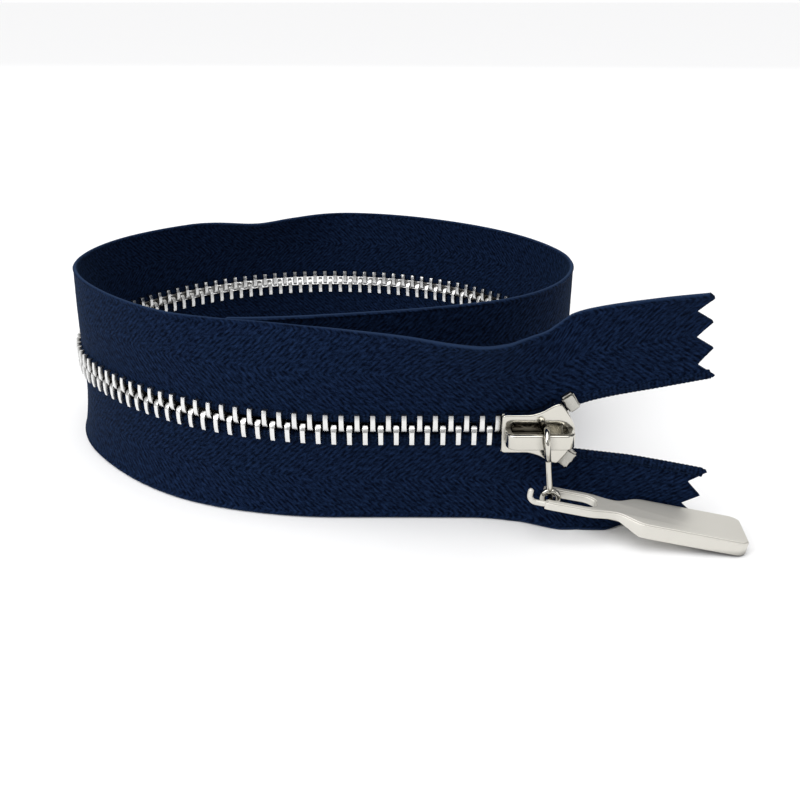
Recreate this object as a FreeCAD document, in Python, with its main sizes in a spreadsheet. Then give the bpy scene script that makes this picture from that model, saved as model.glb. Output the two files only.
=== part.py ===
import FreeCAD, Part

import math
import os

import Sketcher
from FreeCAD import Placement, Rotation, Vector

# A closed-end metal zipper, coiled once and standing on the long edge of its tape.
# Row frame: +X along the straight front run towards the free tails, +Y into the loop,
# +Z up, origin under the middle of the whole object on the surface it stands on.
# Most sub-parts are drawn in the slider's frame: its origin is on the chain's centre
# line, in the middle of the tape's thickness, at the slider's centre when it is shut.

DIMENSIONS = {
    # Where the slider stands in the row frame, with the zipper shut.
    "slider_x": 21.6,
    "front_y": -28.6,
    # Tape and the cord along its inner edge.
    "tape_width": 26.5,
    "tape_thickness": 0.6,
    "edge_gap": 1.8,
    "cord_radius": 0.6,
    "cord_offset": 1.5,
    # Plan of the coiled tape, from the tails to the hidden end: radii and turns.
    "tail_run": 15.9,
    "tail_radius": 8.0,
    "tail_turn": 9.0,
    "tail_lead": 5.0,
    "front_run": 22.5,
    "front_radius": 51.5,
    "front_turn": 51.5,
    "left_radius": 26.0,
    "left_turn": 75.0,
    "back_radius": 40.5,
    "back_turn": 126.5,
    "right_radius": 22.0,
    "right_turn": 87.0,
    "inner_radius": 85.0,
    "inner_turn": 24.0,
    # Where the rows part inside the slider: a bend, then a straight flank.
    "split_start": 0.34,
    "split_radius": 6.0,
    "split_turn": 34.0,
    "split_flank": 2.5,
    # Free tails.
    "lower_tail_height": 10.5,
    "upper_tail_rise": 7.3,
    "upper_tail_lean": -14.0,
    "tail_reach": 22.1,
    "pinking_pitch": 3.8,
    "pinking_depth": 2.1,
    "upper_knee_run": 3.0,
    "edge_trim_clearance": 1.0,
    "edge_trim_depth": 16.0,
    "end_cut_depth": 3.0,
    "lower_tail_cut_depth": 4.0,
    "upper_tail_cut_depth": 24.0,
    "upper_tail_cut_setback": 3.0,
    # Chain.
    "tooth_pitch": 2.0,
    "tooth_width": 0.72,
    "tooth_depth": 2.2,
    "tooth_outer": 2.07,
    "tooth_overlap": 0.18,
    "nib_width": 0.5,
    "nib_depth": 1.0,
    "nib_reach": 0.55,
    "chain_length": 250.0,
    "stop_width": 1.6,
    "stop_depth": 2.3,
    "stop_inner": 0.6,
    "stop_outer": 3.0,
    "bottom_stop_width": 2.2,
    "bottom_stop_depth": 2.6,
    "bottom_stop_height": 5.0,
    # Slider.
    "slider_travel": 19.7,
    "slider_back": 4.66,
    "slider_nose": 4.66,
    "rear_half_width": 2.65,
    "shoulder_half_width": 4.2,
    "blade_inner": 1.2,
    "blade_outer": 2.1,
    "flange_width": 0.5,
    "flange_gap": 0.45,
    "flank_back_x": -1.1,
    "flank_x": 0.3,
    "flank_rise": 0.45,
    "shoulder_x": 1.9,
    "shoulder_drop": 0.1,
    "shoulder_tip_x": 2.6,
    "shoulder_end_x": 3.0,
    "shoulder_end_drop": 0.4,
    "nose_flank_x": 3.95,
    "nose_flank_half_width": 2.45,
    "nose_half_width": 1.1,
    "nose_corner": 0.1,
    "nose_tip_half_width": 0.4,
    "blade_rounding": 0.22,
    "overlap": 0.1,
    "divider_tip_x": 2.9,
    "divider_x": 4.0,
    "divider_end_x": 4.4,
    "divider_half_width": 0.7,
    "pawl_hole_x": -2.2,
    "pawl_hole_half": 0.45,
    "crown_back": 4.3,
    "crown_front": 4.4,
    "crown_top": 4.7,
    "crown_thickness": 0.8,
    "crown_half_width": 1.0,
    "crown_outer_rounding": 1.2,
    "crown_inner_rounding": 0.6,
    # Lock under the crown.
    "pawl_back_x": -3.3,
    "pawl_front_x": 0.4,
    "pawl_lift": 0.15,
    "pawl_top": 0.8,
    "pawl_width": 0.9,
    "foot_half_length": 0.3,
    "foot_width": 0.6,
    "foot_depth": 1.2,
    "spring_thickness": 0.15,
    "spring_width": 0.8,
    "spring_gap": 0.03,
    "spring_back_x": -2.8,
    "spring_back_bend_x": -2.2,
    "spring_dip_back_x": -1.5,
    "spring_dip_front_x": -0.9,
    "spring_front_bend_x": -0.2,
    "spring_front_x": 0.3,
    "spring_slant": 0.1,
    # Pull.
    "link_x": 0.8,
    "link_lean": 6.25,
    "link_wire": 0.75,
    "link_inner_radius": 1.2,
    "link_length": 7.95,
    "eye_outer_radius": 1.4,
    "eye_inner_radius": 0.8,
    "stem_shoulder_drop": 1.0,
    "stem_blend": 0.3,
    "pin_radius": 0.35,
    "pull_length": 25.3,
    "pull_thickness": 2.0,
    "fork_thickness": 1.1,
    "fork_half_width": 2.3,
    "slot_half_width": 1.3,
    "slot_end": 5.95,
    "neck_half_width": 1.7,
    "bar_half_width": 3.3,
    "fork_end": -0.9,
    "fork_chamfer_x": -0.5,
    "fork_chamfer": 0.25,
    "fork_straight_end": 5.2,
    "neck_start": 7.6,
    "neck_end": 8.9,
    "bar_start": 11.4,
    "bar_corner": 1.1,
    "underside_start": 8.6,
    "slot_mouth": -1.5,
    "slot_round": 1.2,
    "slot_round_half_width": 0.8,
    "slot_tip": 0.3,
    "slot_tip_half_width": 0.3,
    "hook_root": -0.6,
    "hook_bend": -1.9,
    "hook_rise": 1.45,
    "hook_radius": 0.95,
    "pin_end_gap": 0.1,
    "pull_yaw": 6.0,
}

# A hair of room between faces that would otherwise share a plane across a joint.
JOINT_GAP = 0.05

# Straight pieces that stand in for each curved edge where a row parts.
SPLIT_STEPS = 5
# How much of the upper tail's rise and lean is reached at its knee and halfway out.
KNEE_RISE_SHARE = 0.3
KNEE_LEAN_SHARE = 0.2
MIDDLE_LEAN_SHARE = 0.6

doc = FreeCAD.newDocument("zipper")


def make_sheet():
    """The driving dimensions, one named cell each."""
    table = doc.addObject("Spreadsheet::Sheet", "dims")
    for row, (name, value) in enumerate(DIMENSIONS.items(), start=1):
        table.set(f"A{row}", name)
        table.set(f"B{row}", str(value))
        table.setAlias(f"B{row}", name)
    doc.recompute()
    return table


sheet = make_sheet()


def dim(name):
    """The value of one named cell."""
    return float(sheet.get(name))


def chain_height():
    """Height of the chain's centre line above the surface."""
    return dim("tape_width") / 2


def pivot_behind_slider():
    """Run from the slider to where the upper tail swings away from the loop."""
    return dim("slider_travel") + dim("split_start")


def half_tape_width():
    """Width of one woven half tape, from its edge in the chain to its outer edge."""
    return (dim("tape_width") - dim("edge_gap")) / 2


# Sketch helpers ----------------------------------------------------------------


def new_body(name):
    """A body whose Label names its sub-part, placed in the slider's frame."""
    body = doc.addObject("PartDesign::Body", name)
    body.Label = name
    body.Placement = slider_frame()
    return body


def slider_frame():
    """The slider's frame in the row frame."""
    return Placement(Vector(dim("slider_x"), dim("front_y"), chain_height()), Rotation())


def origin_plane(body, role):
    """One of a body's own origin planes."""
    return next(plane for plane in body.Origin.OriginFeatures if plane.Role == role)


def new_sketch(body, name, role, offset="0", turn=None):
    """A sketch on an origin plane, moved along the plane's normal by an expression."""
    sketch = body.newObject("Sketcher::SketchObject", name)
    sketch.AttachmentSupport = (origin_plane(body, role), [""])
    sketch.MapMode = "FlatFace"
    if turn is not None:
        sketch.AttachmentOffset = Placement(Vector(), turn)
    sketch.setExpression("AttachmentOffset.Base.z", offset)
    return sketch


def value_of(sketch, expression):
    """An expression's value as a plain number."""
    result = sketch.evalExpression(expression)
    return float(getattr(result, "Value", result))


def bind_point(sketch, edge, end, x_expression, y_expression):
    """Ties one end of an edge to the sketch's origin by two expressions."""
    for kind, expression in (("DistanceX", x_expression), ("DistanceY", y_expression)):
        value = value_of(sketch, expression)
        constraint = Sketcher.Constraint(kind, -1, 1, edge, end, value)
        index = sketch.addConstraint(constraint)
        sketch.setExpression(f"Constraints[{index}]", expression)


def add_polygon(sketch, corners):
    """A closed outline through corners given as pairs of expressions."""
    points = [Vector(value_of(sketch, x), value_of(sketch, y), 0) for x, y in corners]
    first = sketch.GeometryCount
    count = len(points)
    for i, start in enumerate(points):
        sketch.addGeometry(Part.LineSegment(start, points[(i + 1) % count]), False)
    for i, (x, y) in enumerate(corners):
        after = first + (i - 1) % count
        sketch.addConstraint(Sketcher.Constraint("Coincident", after, 2, first + i, 1))
        bind_point(sketch, first + i, 1, x, y)


def add_rectangle(sketch, x_low, x_high, y_low, y_high):
    """An upright rectangle given by four expressions."""
    add_polygon(sketch, [(x_low, y_low), (x_high, y_low), (x_high, y_high), (x_low, y_high)])


def add_circle(sketch, x, y, radius):
    """A circle given by three expressions."""
    centre = Vector(value_of(sketch, x), value_of(sketch, y), 0)
    circle = Part.Circle(centre, Vector(0, 0, 1), value_of(sketch, radius))
    edge = sketch.addGeometry(circle, False)
    bind_point(sketch, edge, 3, x, y)
    index = sketch.addConstraint(Sketcher.Constraint("Radius", edge, circle.Radius))
    sketch.setExpression(f"Constraints[{index}]", radius)


def pad(body, name, sketch, length, midplane=False):
    """Pads a sketch along its own normal, or equally both ways."""
    feature = body.newObject("PartDesign::Pad", name)
    feature.Profile = sketch
    feature.Midplane = midplane
    feature.setExpression("Length", length)
    return feature


def pocket(body, name, sketch, length, midplane=True):
    """Cuts a sketch out of the body, equally both ways or against the sketch's normal."""
    feature = body.newObject("PartDesign::Pocket", name)
    feature.Profile = sketch
    feature.Midplane = midplane
    feature.setExpression("Length", length)
    return feature


def fillet(body, name, base, radius, chosen):
    """Rounds the edges of a feature that the test picks."""
    doc.recompute()
    edges = [f"Edge{i}" for i, edge in enumerate(base.Shape.Edges, start=1) if chosen(edge)]
    feature = body.newObject("PartDesign::Fillet", name)
    feature.Base = (base, edges)
    feature.setExpression("Radius", radius)
    doc.recompute()
    return feature


def runs_along(edge, axis):
    """True for a straight edge along an axis."""
    if edge.Curve.TypeId != "Part::GeomLine":
        return False
    return abs(edge.tangentAt(edge.FirstParameter).dot(axis)) > 0.999


# The plan of the tape ------------------------------------------------------------

# Bends of the coil in order, each by the names of its radius and its turn.
BENDS = ["front", "left", "back", "right", "inner"]


def add_plan(sketch, start_x):
    """Draws the coil's centre line: a straight run, then five tangent arcs."""
    here = Vector(start_x, 0, 0)
    corner = Vector(-dim("front_run"), 0, 0)
    line = sketch.addGeometry(Part.LineSegment(here, corner), False)
    sketch.addConstraint(Sketcher.Constraint("Horizontal", line))
    bind_point(sketch, line, 1, str(start_x), "0")
    index = sketch.addConstraint(Sketcher.Constraint("DistanceX", -1, 1, line, 2, corner.x))
    sketch.setExpression(f"Constraints[{index}]", "-dims.front_run")
    before, before_end = line, 2
    heading = 180.0
    for bend in BENDS:
        radius = dim(f"{bend}_radius")
        turn = dim(f"{bend}_turn")
        centre = corner + radius * direction(heading - 90)
        arc_start = heading + 90
        circle = Part.Circle(centre, Vector(0, 0, 1), radius)
        arc = Part.ArcOfCircle(circle, math.radians(arc_start - turn), math.radians(arc_start))
        edge = sketch.addGeometry(arc, False)
        sketch.addConstraint(Sketcher.Constraint("Tangent", before, before_end, edge, 2))
        index = sketch.addConstraint(Sketcher.Constraint("Radius", edge, radius))
        sketch.setExpression(f"Constraints[{index}]", f"dims.{bend}_radius")
        index = sketch.addConstraint(Sketcher.Constraint("Angle", edge, math.radians(turn)))
        sketch.setExpression(f"Constraints[{index}]", f"dims.{bend}_turn * 1 deg")
        heading -= turn
        corner = centre + radius * direction(heading + 90)
        before, before_end = edge, 1


def direction(degrees):
    """The unit vector at an angle from +X in plan."""
    return Vector(math.cos(math.radians(degrees)), math.sin(math.radians(degrees)), 0)


def plan_pieces():
    """The coil's centre line left of the slider: start, heading, length and radius."""
    pieces = [(Vector(), 180.0, dim("front_run"), None)]
    corner = Vector(-dim("front_run"), 0, 0)
    heading = 180.0
    for bend in BENDS:
        radius = dim(f"{bend}_radius")
        turn = dim(f"{bend}_turn")
        pieces.append((corner, heading, radius * math.radians(turn), radius))
        centre = corner + radius * direction(heading - 90)
        heading -= turn
        corner = centre + radius * direction(heading + 90)
    return pieces


def plan_point(run):
    """Place and heading on the coil's centre line, a given length from the slider."""
    for start, heading, length, radius in plan_pieces():
        if run <= length:
            break
        run -= length
    if radius is None:
        return start + run * direction(heading), heading
    turn = math.degrees(run / radius)
    centre = start + radius * direction(heading - 90)
    return centre + radius * direction(heading - turn + 90), heading - turn


def plan_length():
    """Length of the tape from the slider's centre to its hidden end."""
    return sum(length for _, _, length, _ in plan_pieces())


def split_point(run):
    """Height and slope of a row where it parts, a length past the parting point."""
    radius = dim("split_radius")
    bend = radius * math.radians(dim("split_turn"))
    slope = math.radians(dim("split_turn")) * min(1.0, run / bend)
    past = max(0.0, run - bend)
    along = radius * math.sin(slope) + past * math.cos(slope)
    rise = radius * (1 - math.cos(slope)) + past * math.sin(slope)
    return -dim("split_start") + along, rise, math.degrees(slope)


# Tapes -----------------------------------------------------------------------------


def pinked_corners(end_x, low, high):
    """Corners of the zigzag that pinking shears cut across a tape's end at end_x."""
    pitch = dim("pinking_pitch")
    depth = dim("pinking_depth")
    sign = 1 if end_x > 0 else -1
    count = math.ceil((high - low) / pitch)
    corners = []
    for i in range(count + 1):
        height = low + i * pitch
        corners.append((end_x, height))
        corners.append((end_x - sign * depth, height + pitch / 2))
    beyond = end_x + sign * depth
    corners += [(beyond, corners[-1][1]), (beyond, corners[0][1])]
    return [(f"{x:.3f}", f"{z:.3f}") for x, z in corners]


def cut_pinked_end(body, name, end_x, low, high, across, depth):
    """Pinks a tape's end; across is the end's place through the tape."""
    sketch = new_sketch(body, f"{name}_outline", "XZ_Plane", offset=f"{-across:.3f}")
    add_polygon(sketch, pinked_corners(end_x, low, high))
    pocket(body, name, sketch, depth)


def hidden_end():
    """Where the coil's hidden end stands, in the slider's frame."""
    return plan_point(plan_length())[0]


def add_coil(body, start_x, low, high):
    """Sweeps an upright strip of tape along the coil from start_x."""
    profile = new_sketch(body, f"{body.Name}_section", "YZ_Plane", offset=str(start_x))
    add_rectangle(profile, "-dims.tape_thickness / 2", "dims.tape_thickness / 2", low, high)
    path = new_sketch(body, f"{body.Name}_plan", "XY_Plane")
    add_plan(path, start_x)
    coil = body.newObject("PartDesign::AdditivePipe", f"{body.Name}_coil")
    coil.Profile = profile
    coil.Spine = path
    return profile


def lower_tape():
    """The half tape that stands on the surface: coil, bend and free tail."""
    body = new_body("lower_tape")
    low = "-dims.tape_width / 2"
    high = "-dims.edge_gap / 2"
    profile = add_coil(body, 0.0, low, high)
    path = new_sketch(body, "lower_tail_plan", "XY_Plane")
    add_tail_plan(path)
    tail = body.newObject("PartDesign::AdditivePipe", "lower_tail")
    tail.Profile = profile
    tail.Spine = path
    trim = new_sketch(body, "lower_edge_outline", "XZ_Plane")
    add_polygon(trim, lower_edge_corners())
    pocket(body, "lower_edge", trim, "dims.edge_trim_depth")
    end = tail_end()
    base = -dim("tape_width") / 2
    tail_cut = "dims.lower_tail_cut_depth"
    cut_pinked_end(body, "lower_tail_pinking", end.x, base, 0, end.y, tail_cut)
    inner = hidden_end()
    end_cut = "dims.end_cut_depth"
    cut_pinked_end(body, "lower_end_pinking", inner.x, base, 0, inner.y, end_cut)
    return body


def add_tail_plan(sketch):
    """Draws the lower tail's centre line: a short lead, a bend and a straight run."""
    lead = Vector(dim("tail_lead"), 0, 0)
    radius = dim("tail_radius")
    turn = dim("tail_turn")
    centre = lead - Vector(0, radius, 0)
    first = sketch.addGeometry(Part.LineSegment(Vector(), lead), False)
    circle = Part.Circle(centre, Vector(0, 0, 1), radius)
    arc = Part.ArcOfCircle(circle, math.radians(90 - turn), math.radians(90))
    bend = sketch.addGeometry(arc, False)
    corner = centre + radius * direction(90 - turn)
    last = sketch.addGeometry(Part.LineSegment(corner, tail_end()), False)
    sketch.addConstraint(Sketcher.Constraint("Horizontal", first))
    bind_point(sketch, first, 1, "0", "0")
    index = sketch.addConstraint(Sketcher.Constraint("DistanceX", -1, 1, first, 2, lead.x))
    sketch.setExpression(f"Constraints[{index}]", "dims.tail_lead")
    sketch.addConstraint(Sketcher.Constraint("Tangent", first, 2, bend, 2))
    index = sketch.addConstraint(Sketcher.Constraint("Radius", bend, radius))
    sketch.setExpression(f"Constraints[{index}]", "dims.tail_radius")
    index = sketch.addConstraint(Sketcher.Constraint("Angle", bend, math.radians(turn)))
    sketch.setExpression(f"Constraints[{index}]", "dims.tail_turn * 1 deg")
    sketch.addConstraint(Sketcher.Constraint("Tangent", bend, 1, last, 1))
    index = sketch.addConstraint(Sketcher.Constraint("Distance", last, dim("tail_run")))
    sketch.setExpression(f"Constraints[{index}]", "dims.tail_run")


def tail_end():
    """Where the lower tail ends, in the slider's frame."""
    radius = dim("tail_radius")
    turn = dim("tail_turn")
    centre = Vector(dim("tail_lead"), -radius, 0)
    return centre + radius * direction(90 - turn) + dim("tail_run") * direction(-turn)


def lower_edge_corners():
    """What is cut off the lower tape's upper edge where its row parts and in its tail."""
    edge = dim("edge_gap") / 2
    below = dim("tape_width") / 2 - dim("lower_tail_height")
    corners = []
    flank = dim("split_radius") * math.radians(dim("split_turn")) + dim("split_flank")
    for step in range(SPLIT_STEPS + 1):
        x, rise, slope = split_point(flank * step / SPLIT_STEPS)
        tilt = math.radians(slope)
        corners.append((x - edge * math.sin(tilt), -rise - edge * math.cos(tilt)))
    last_x = tail_end().x + dim("pinking_depth")
    knee_x = dim("tail_lead") + dim("tail_radius") * math.radians(dim("tail_turn"))
    above = dim("edge_trim_clearance")
    corners += [(knee_x, -below), (last_x, -below), (last_x, above), (corners[0][0], above)]
    return [(f"{x:.3f}", f"{z:.3f}") for x, z in corners]


def upper_tape():
    """The half tape above the chain, from the hidden end to the swinging tail."""
    body = new_body("upper_tape")
    add_coil(body, -pivot_behind_slider(), "dims.edge_gap / 2", "dims.tape_width / 2")
    inner = hidden_end()
    top = dim("tape_width") / 2
    cut_pinked_end(body, "upper_end_pinking", inner.x, 0, top, inner.y, "dims.end_cut_depth")
    return body


def upper_tail_sections():
    """Stations of the upper tail: place along X, height of its lower edge and lean."""
    edge = dim("edge_gap") / 2
    flank = dim("split_radius") * math.radians(dim("split_turn")) + dim("split_flank")
    stations = [(JOINT_GAP - pivot_behind_slider(), edge, 0.0)]
    for step in range(SPLIT_STEPS):
        x, rise, slope = split_point(flank * step / (SPLIT_STEPS - 1))
        tilt = math.radians(slope)
        stations.append((x - edge * math.sin(tilt), rise + edge * math.cos(tilt), 0.0))
    last_x = dim("tail_reach")
    last_rise = dim("upper_tail_rise")
    lean = dim("upper_tail_lean")
    bent_x, bent_rise, _ = stations[-1]
    knee_x = bent_x + dim("upper_knee_run")
    knee_rise = bent_rise + KNEE_RISE_SHARE * (last_rise - bent_rise)
    stations.append((knee_x, knee_rise, lean * KNEE_LEAN_SHARE))
    middle = (knee_x + last_x) / 2
    stations.append((middle, (knee_rise + last_rise) / 2, lean * MIDDLE_LEAN_SHARE))
    stations.append((last_x, last_rise, lean))
    return stations


def upper_tail_tape():
    """The upper half tape's free tail: rises past the slider and leans away."""
    body = new_body("upper_tail_tape")
    width = half_tape_width()
    half = dim("tape_thickness") / 2
    sketches = []
    for i, (x, rise, lean) in enumerate(upper_tail_sections()):
        sketch = new_sketch(body, f"tail_section_{i}", "YZ_Plane", offset=f"{x:.3f}")
        up = Vector(math.sin(math.radians(lean)), math.cos(math.radians(lean)), 0)
        side = Vector(up.y, -up.x, 0) * half
        foot = Vector(0, rise, 0)
        top = foot + up * width
        corners = [foot - side, foot + side, top + side, top - side]
        add_polygon(sketch, [(f"{c.x:.4f}", f"{c.y:.4f}") for c in corners])
        sketches.append(sketch)
    loft = body.newObject("PartDesign::AdditiveLoft", "upper_tail_loft")
    loft.Profile = sketches[0]
    loft.Sections = sketches[1:]
    loft.Ruled = True
    top = dim("upper_tail_rise") + width
    low = dim("upper_tail_rise") - dim("edge_trim_clearance")
    setback = dim("upper_tail_cut_setback")
    depth = "dims.upper_tail_cut_depth"
    cut_pinked_end(body, "upper_tail_pinking", dim("tail_reach"), low, top, setback, depth)
    return body


# Cords along the tapes' inner edges -------------------------------------------------


def cord_tail_edges(side):
    """Wire of a cord's free end in the slider's frame; side is 1 above, -1 below."""
    offset = dim("cord_offset")
    flank = dim("split_radius") * math.radians(dim("split_turn"))
    x0, _, _ = split_point(0)
    start = Vector(x0, 0, side * offset)
    points = []
    for run in (flank / 2, flank, flank + dim("split_flank")):
        x, rise, slope = split_point(run)
        tilt = math.radians(slope)
        points.append(
            Vector(x - offset * math.sin(tilt), 0, side * (rise + offset * math.cos(tilt)))
        )
    bend = Part.Arc(start, points[0], points[1]).toShape()
    straight = Part.makeLine(points[1], points[2])
    return [bend, straight]


def coil_edges(start_x, height):
    """Wire of the coil's centre line at a height, from start_x to the hidden end."""
    edges = []
    lift = Vector(0, 0, height)
    first = Vector(start_x, 0, 0)
    edges.append(Part.makeLine(first + lift, Vector(-dim("front_run"), 0, 0) + lift))
    for start, heading, length, radius in plan_pieces()[1:]:
        centre = start + radius * direction(heading - 90)
        turn = math.degrees(length / radius)
        middle = centre + radius * direction(heading - turn / 2 + 90)
        end = centre + radius * direction(heading - turn + 90)
        edges.append(Part.Arc(start + lift, middle + lift, end + lift).toShape())
    return edges


def cord(name, edges):
    """A round cord swept along a smooth wire given in the slider's frame."""
    spine = doc.addObject("Part::Feature", f"{name}_spine")
    spine.Shape = Part.Wire(Part.__sortEdges__(edges))
    first = spine.Shape.OrderedEdges[0]
    start = spine.Shape.OrderedVertexes[0].Point
    tangent = first.tangentAt(first.getParameterByLength(0))
    ring = doc.addObject("Part::Circle", f"{name}_section")
    ring.setExpression("Radius", "dims.cord_radius")
    ring.Placement = Placement(start, Rotation(Vector(0, 0, 1), tangent))
    sweep = doc.addObject("Part::Sweep", name)
    sweep.Label = name
    sweep.Sections = [ring]
    sweep.Spine = (spine, [])
    sweep.Solid = True
    sweep.Frenet = False
    sweep.Placement = slider_frame()
    return sweep


def cords():
    """The lower cord, the upper cord and the upper cord's swinging part."""
    split_x = -dim("split_start")
    height = dim("cord_offset")
    lower = coil_edges(split_x, -height) + cord_tail_edges(-1)
    upper = coil_edges(-pivot_behind_slider(), height)
    start = Vector(JOINT_GAP - pivot_behind_slider(), 0, height)
    tail = [Part.makeLine(start, Vector(split_x, 0, height))] + cord_tail_edges(1)
    return [
        cord("lower_cord", lower),
        cord("upper_cord", upper),
        cord("upper_tail_cord", tail),
    ]


# Chain -------------------------------------------------------------------------------


def jaw_section(sketch, depth, inner, outer, slot_from):
    """A block seen along the row, slotted from slot_from outwards for the tape."""
    tape = "dims.tape_thickness / 2"
    add_polygon(
        sketch,
        [
            (f"-{depth} / 2", inner),
            (f"{depth} / 2", inner),
            (f"{depth} / 2", outer),
            (tape, outer),
            (tape, slot_from),
            (f"-{tape}", slot_from),
            (f"-{tape}", outer),
            (f"-{depth} / 2", outer),
        ],
    )


def tooth_pattern():
    """One tooth: jaws that grip the cord, a head and the nib that locks into the row."""
    body = doc.addObject("PartDesign::Body", "tooth_pattern")
    jaws = new_sketch(body, "tooth_jaws", "YZ_Plane")
    jaw_section(
        jaws, "dims.tooth_depth", "-dims.tooth_overlap", "dims.tooth_outer", "dims.edge_gap / 2"
    )
    pad(body, "tooth_block", jaws, "dims.tooth_width", midplane=True)
    nib = new_sketch(body, "tooth_nib", "YZ_Plane")
    half = "dims.nib_depth / 2"
    add_rectangle(nib, f"-{half}", half, "-dims.nib_reach", "-dims.tooth_overlap")
    pad(body, "nib_block", nib, "dims.nib_width", midplane=True)
    doc.recompute()
    return body.Shape


def row_placement(run, side):
    """Placement of a tooth on a row: run is its length from the slider's centre."""
    parting = dim("split_start")
    flip = Rotation(Vector(1, 0, 0), 0 if side > 0 else 180)
    if run > parting:
        start, heading = plan_point(run)
        return Placement(start, Rotation(Vector(0, 0, 1), heading) * flip)
    x, rise, slope = split_point(parting - run)
    tilt = Rotation(Vector(0, 1, 0), -side * slope)
    return Placement(Vector(x, 0, side * rise), tilt * flip)


def tooth_row(name, pattern, runs, side):
    """A group of teeth, each a separate solid, at the given lengths along a row."""
    node = doc.addObject("Part::Feature", name)
    node.Label = name
    node.Shape = Part.makeCompound(
        [pattern.transformed(row_placement(run, side).toMatrix(), True) for run in runs]
    )
    node.Placement = slider_frame()
    return node


def stop_run():
    """Length of a top stop's middle from the slider's centre, along its row."""
    bend = dim("split_radius") * math.radians(dim("split_turn"))
    return dim("split_start") - bend - dim("split_flank")


def tooth_rows():
    """The four groups of teeth: two that stay put and two that part behind the slider."""
    pattern = tooth_pattern()
    pitch = dim("tooth_pitch")
    first = stop_run() + dim("stop_width") / 2 + pitch / 2
    last = stop_run() + dim("chain_length") - pitch
    rows = []
    for side, word, lag in ((-1, "lower", 0.0), (1, "upper", pitch / 2)):
        count = int((last - first - lag) / pitch) + 1
        runs = [first + lag + i * pitch for i in range(count)]
        opening = [run for run in runs if run < pivot_behind_slider() - dim("tooth_width")]
        closed = [run for run in runs if run not in opening]
        rows.append(tooth_row(f"{word}_teeth", pattern, closed, side))
        rows.append(tooth_row(f"{word}_opening_teeth", pattern, opening, side))
    return rows


def top_stop(name, side):
    """A block crimped over a tape's edge that the slider's shoulder runs up against."""
    body = new_body(name)
    section = new_sketch(body, f"{name}_section", "YZ_Plane")
    jaw_section(section, "dims.stop_depth", "dims.stop_inner", "dims.stop_outer", "dims.edge_gap / 2")
    block = pad(body, f"{name}_block", section, "dims.stop_width", midplane=True)
    along = Vector(0, 0, 1)
    fillet(body, f"{name}_rounding", block, "0.25", lambda edge: runs_along(edge, along))
    body.Placement = slider_frame().multiply(row_placement(stop_run(), side))
    return body


def bottom_stop():
    """The block that grips both tapes' edges at the chain's closed end."""
    body = new_body("bottom_stop")
    section = new_sketch(body, "bottom_stop_section", "YZ_Plane")
    half = "dims.bottom_stop_depth / 2"
    high = "dims.bottom_stop_height / 2"
    tape = "dims.tape_thickness / 2"
    edge = "dims.edge_gap / 2"
    add_polygon(
        section,
        [
            (f"-{half}", f"-{high}"),
            (f"-{tape}", f"-{high}"),
            (f"-{tape}", f"-{edge}"),
            (tape, f"-{edge}"),
            (tape, f"-{high}"),
            (half, f"-{high}"),
            (half, high),
            (tape, high),
            (tape, edge),
            (f"-{tape}", edge),
            (f"-{tape}", high),
            (f"-{half}", high),
        ],
    )
    pad(body, "bottom_stop_block", section, "dims.bottom_stop_width", midplane=True)
    place, heading = plan_point(stop_run() + dim("chain_length"))
    turned = Placement(place, Rotation(Vector(0, 0, 1), heading))
    body.Placement = slider_frame().multiply(turned)
    return body


# Slider ------------------------------------------------------------------------------


def blade_corners():
    """Half outline of a blade, from its back end round its shoulder to its nose."""
    return [
        ("-dims.slider_back", "dims.rear_half_width"),
        ("dims.flank_back_x", "dims.rear_half_width"),
        ("dims.flank_x", "dims.rear_half_width + dims.flank_rise"),
        ("dims.shoulder_x", "dims.shoulder_half_width - dims.shoulder_drop"),
        ("dims.shoulder_tip_x", "dims.shoulder_half_width"),
        ("dims.shoulder_end_x", "dims.shoulder_half_width - dims.shoulder_end_drop"),
        ("dims.nose_flank_x", "dims.nose_flank_half_width"),
        ("dims.slider_nose - dims.nose_corner", "dims.nose_half_width"),
        ("dims.slider_nose", "dims.nose_tip_half_width"),
    ]


def mirrored(corners):
    """The same corners below the centre line, in the opposite order."""
    return [(x, f"-({z})") for x, z in reversed(corners)]


def slider_body():
    """One casting: two blades with inturned flanges, joined by the divider."""
    body = new_body("slider_body")
    corners = blade_corners()
    thickness = "dims.blade_outer - dims.blade_inner"
    for word, offset in (("front", "dims.blade_inner"), ("rear", "-dims.blade_outer")):
        sketch = new_sketch(body, f"{word}_blade_outline", "XZ_Plane", offset=offset)
        add_polygon(sketch, corners + mirrored(corners))
        pad(body, f"{word}_blade", sketch, thickness)
        if word == "front":
            divider = new_sketch(body, "divider_outline", "XZ_Plane")
            add_polygon(divider, divider_corners())
            pad(body, "divider", divider, "2 * (dims.blade_inner + dims.overlap)", midplane=True)
    add_flanges(body)
    hole = new_sketch(body, "pawl_hole_outline", "XZ_Plane", offset="dims.blade_outer + dims.overlap")
    half = "dims.pawl_hole_half"
    middle = "dims.pawl_hole_x"
    add_rectangle(hole, f"{middle} - {half}", f"{middle} + {half}", f"-{half}", half)
    depth = "dims.blade_outer - dims.blade_inner + 2 * dims.overlap"
    cut = pocket(body, "pawl_hole", hole, depth, midplane=False)
    outer = dim("blade_outer")
    hole_reach = dim("pawl_hole_half") + dim("overlap")

    def on_outer_rim(edge):
        """True for edges of the blades' outer faces, away from the pawl's hole."""
        ends = [vertex.Point for vertex in edge.Vertexes]
        flat = all(abs(abs(point.y) - outer) < 1e-6 for point in ends)
        near_hole = all(abs(point.z) < hole_reach and point.x < 0 for point in ends)
        return flat and not near_hole

    fillet(body, "blade_rounding", cut, "dims.blade_rounding", on_outer_rim)
    return body


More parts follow.
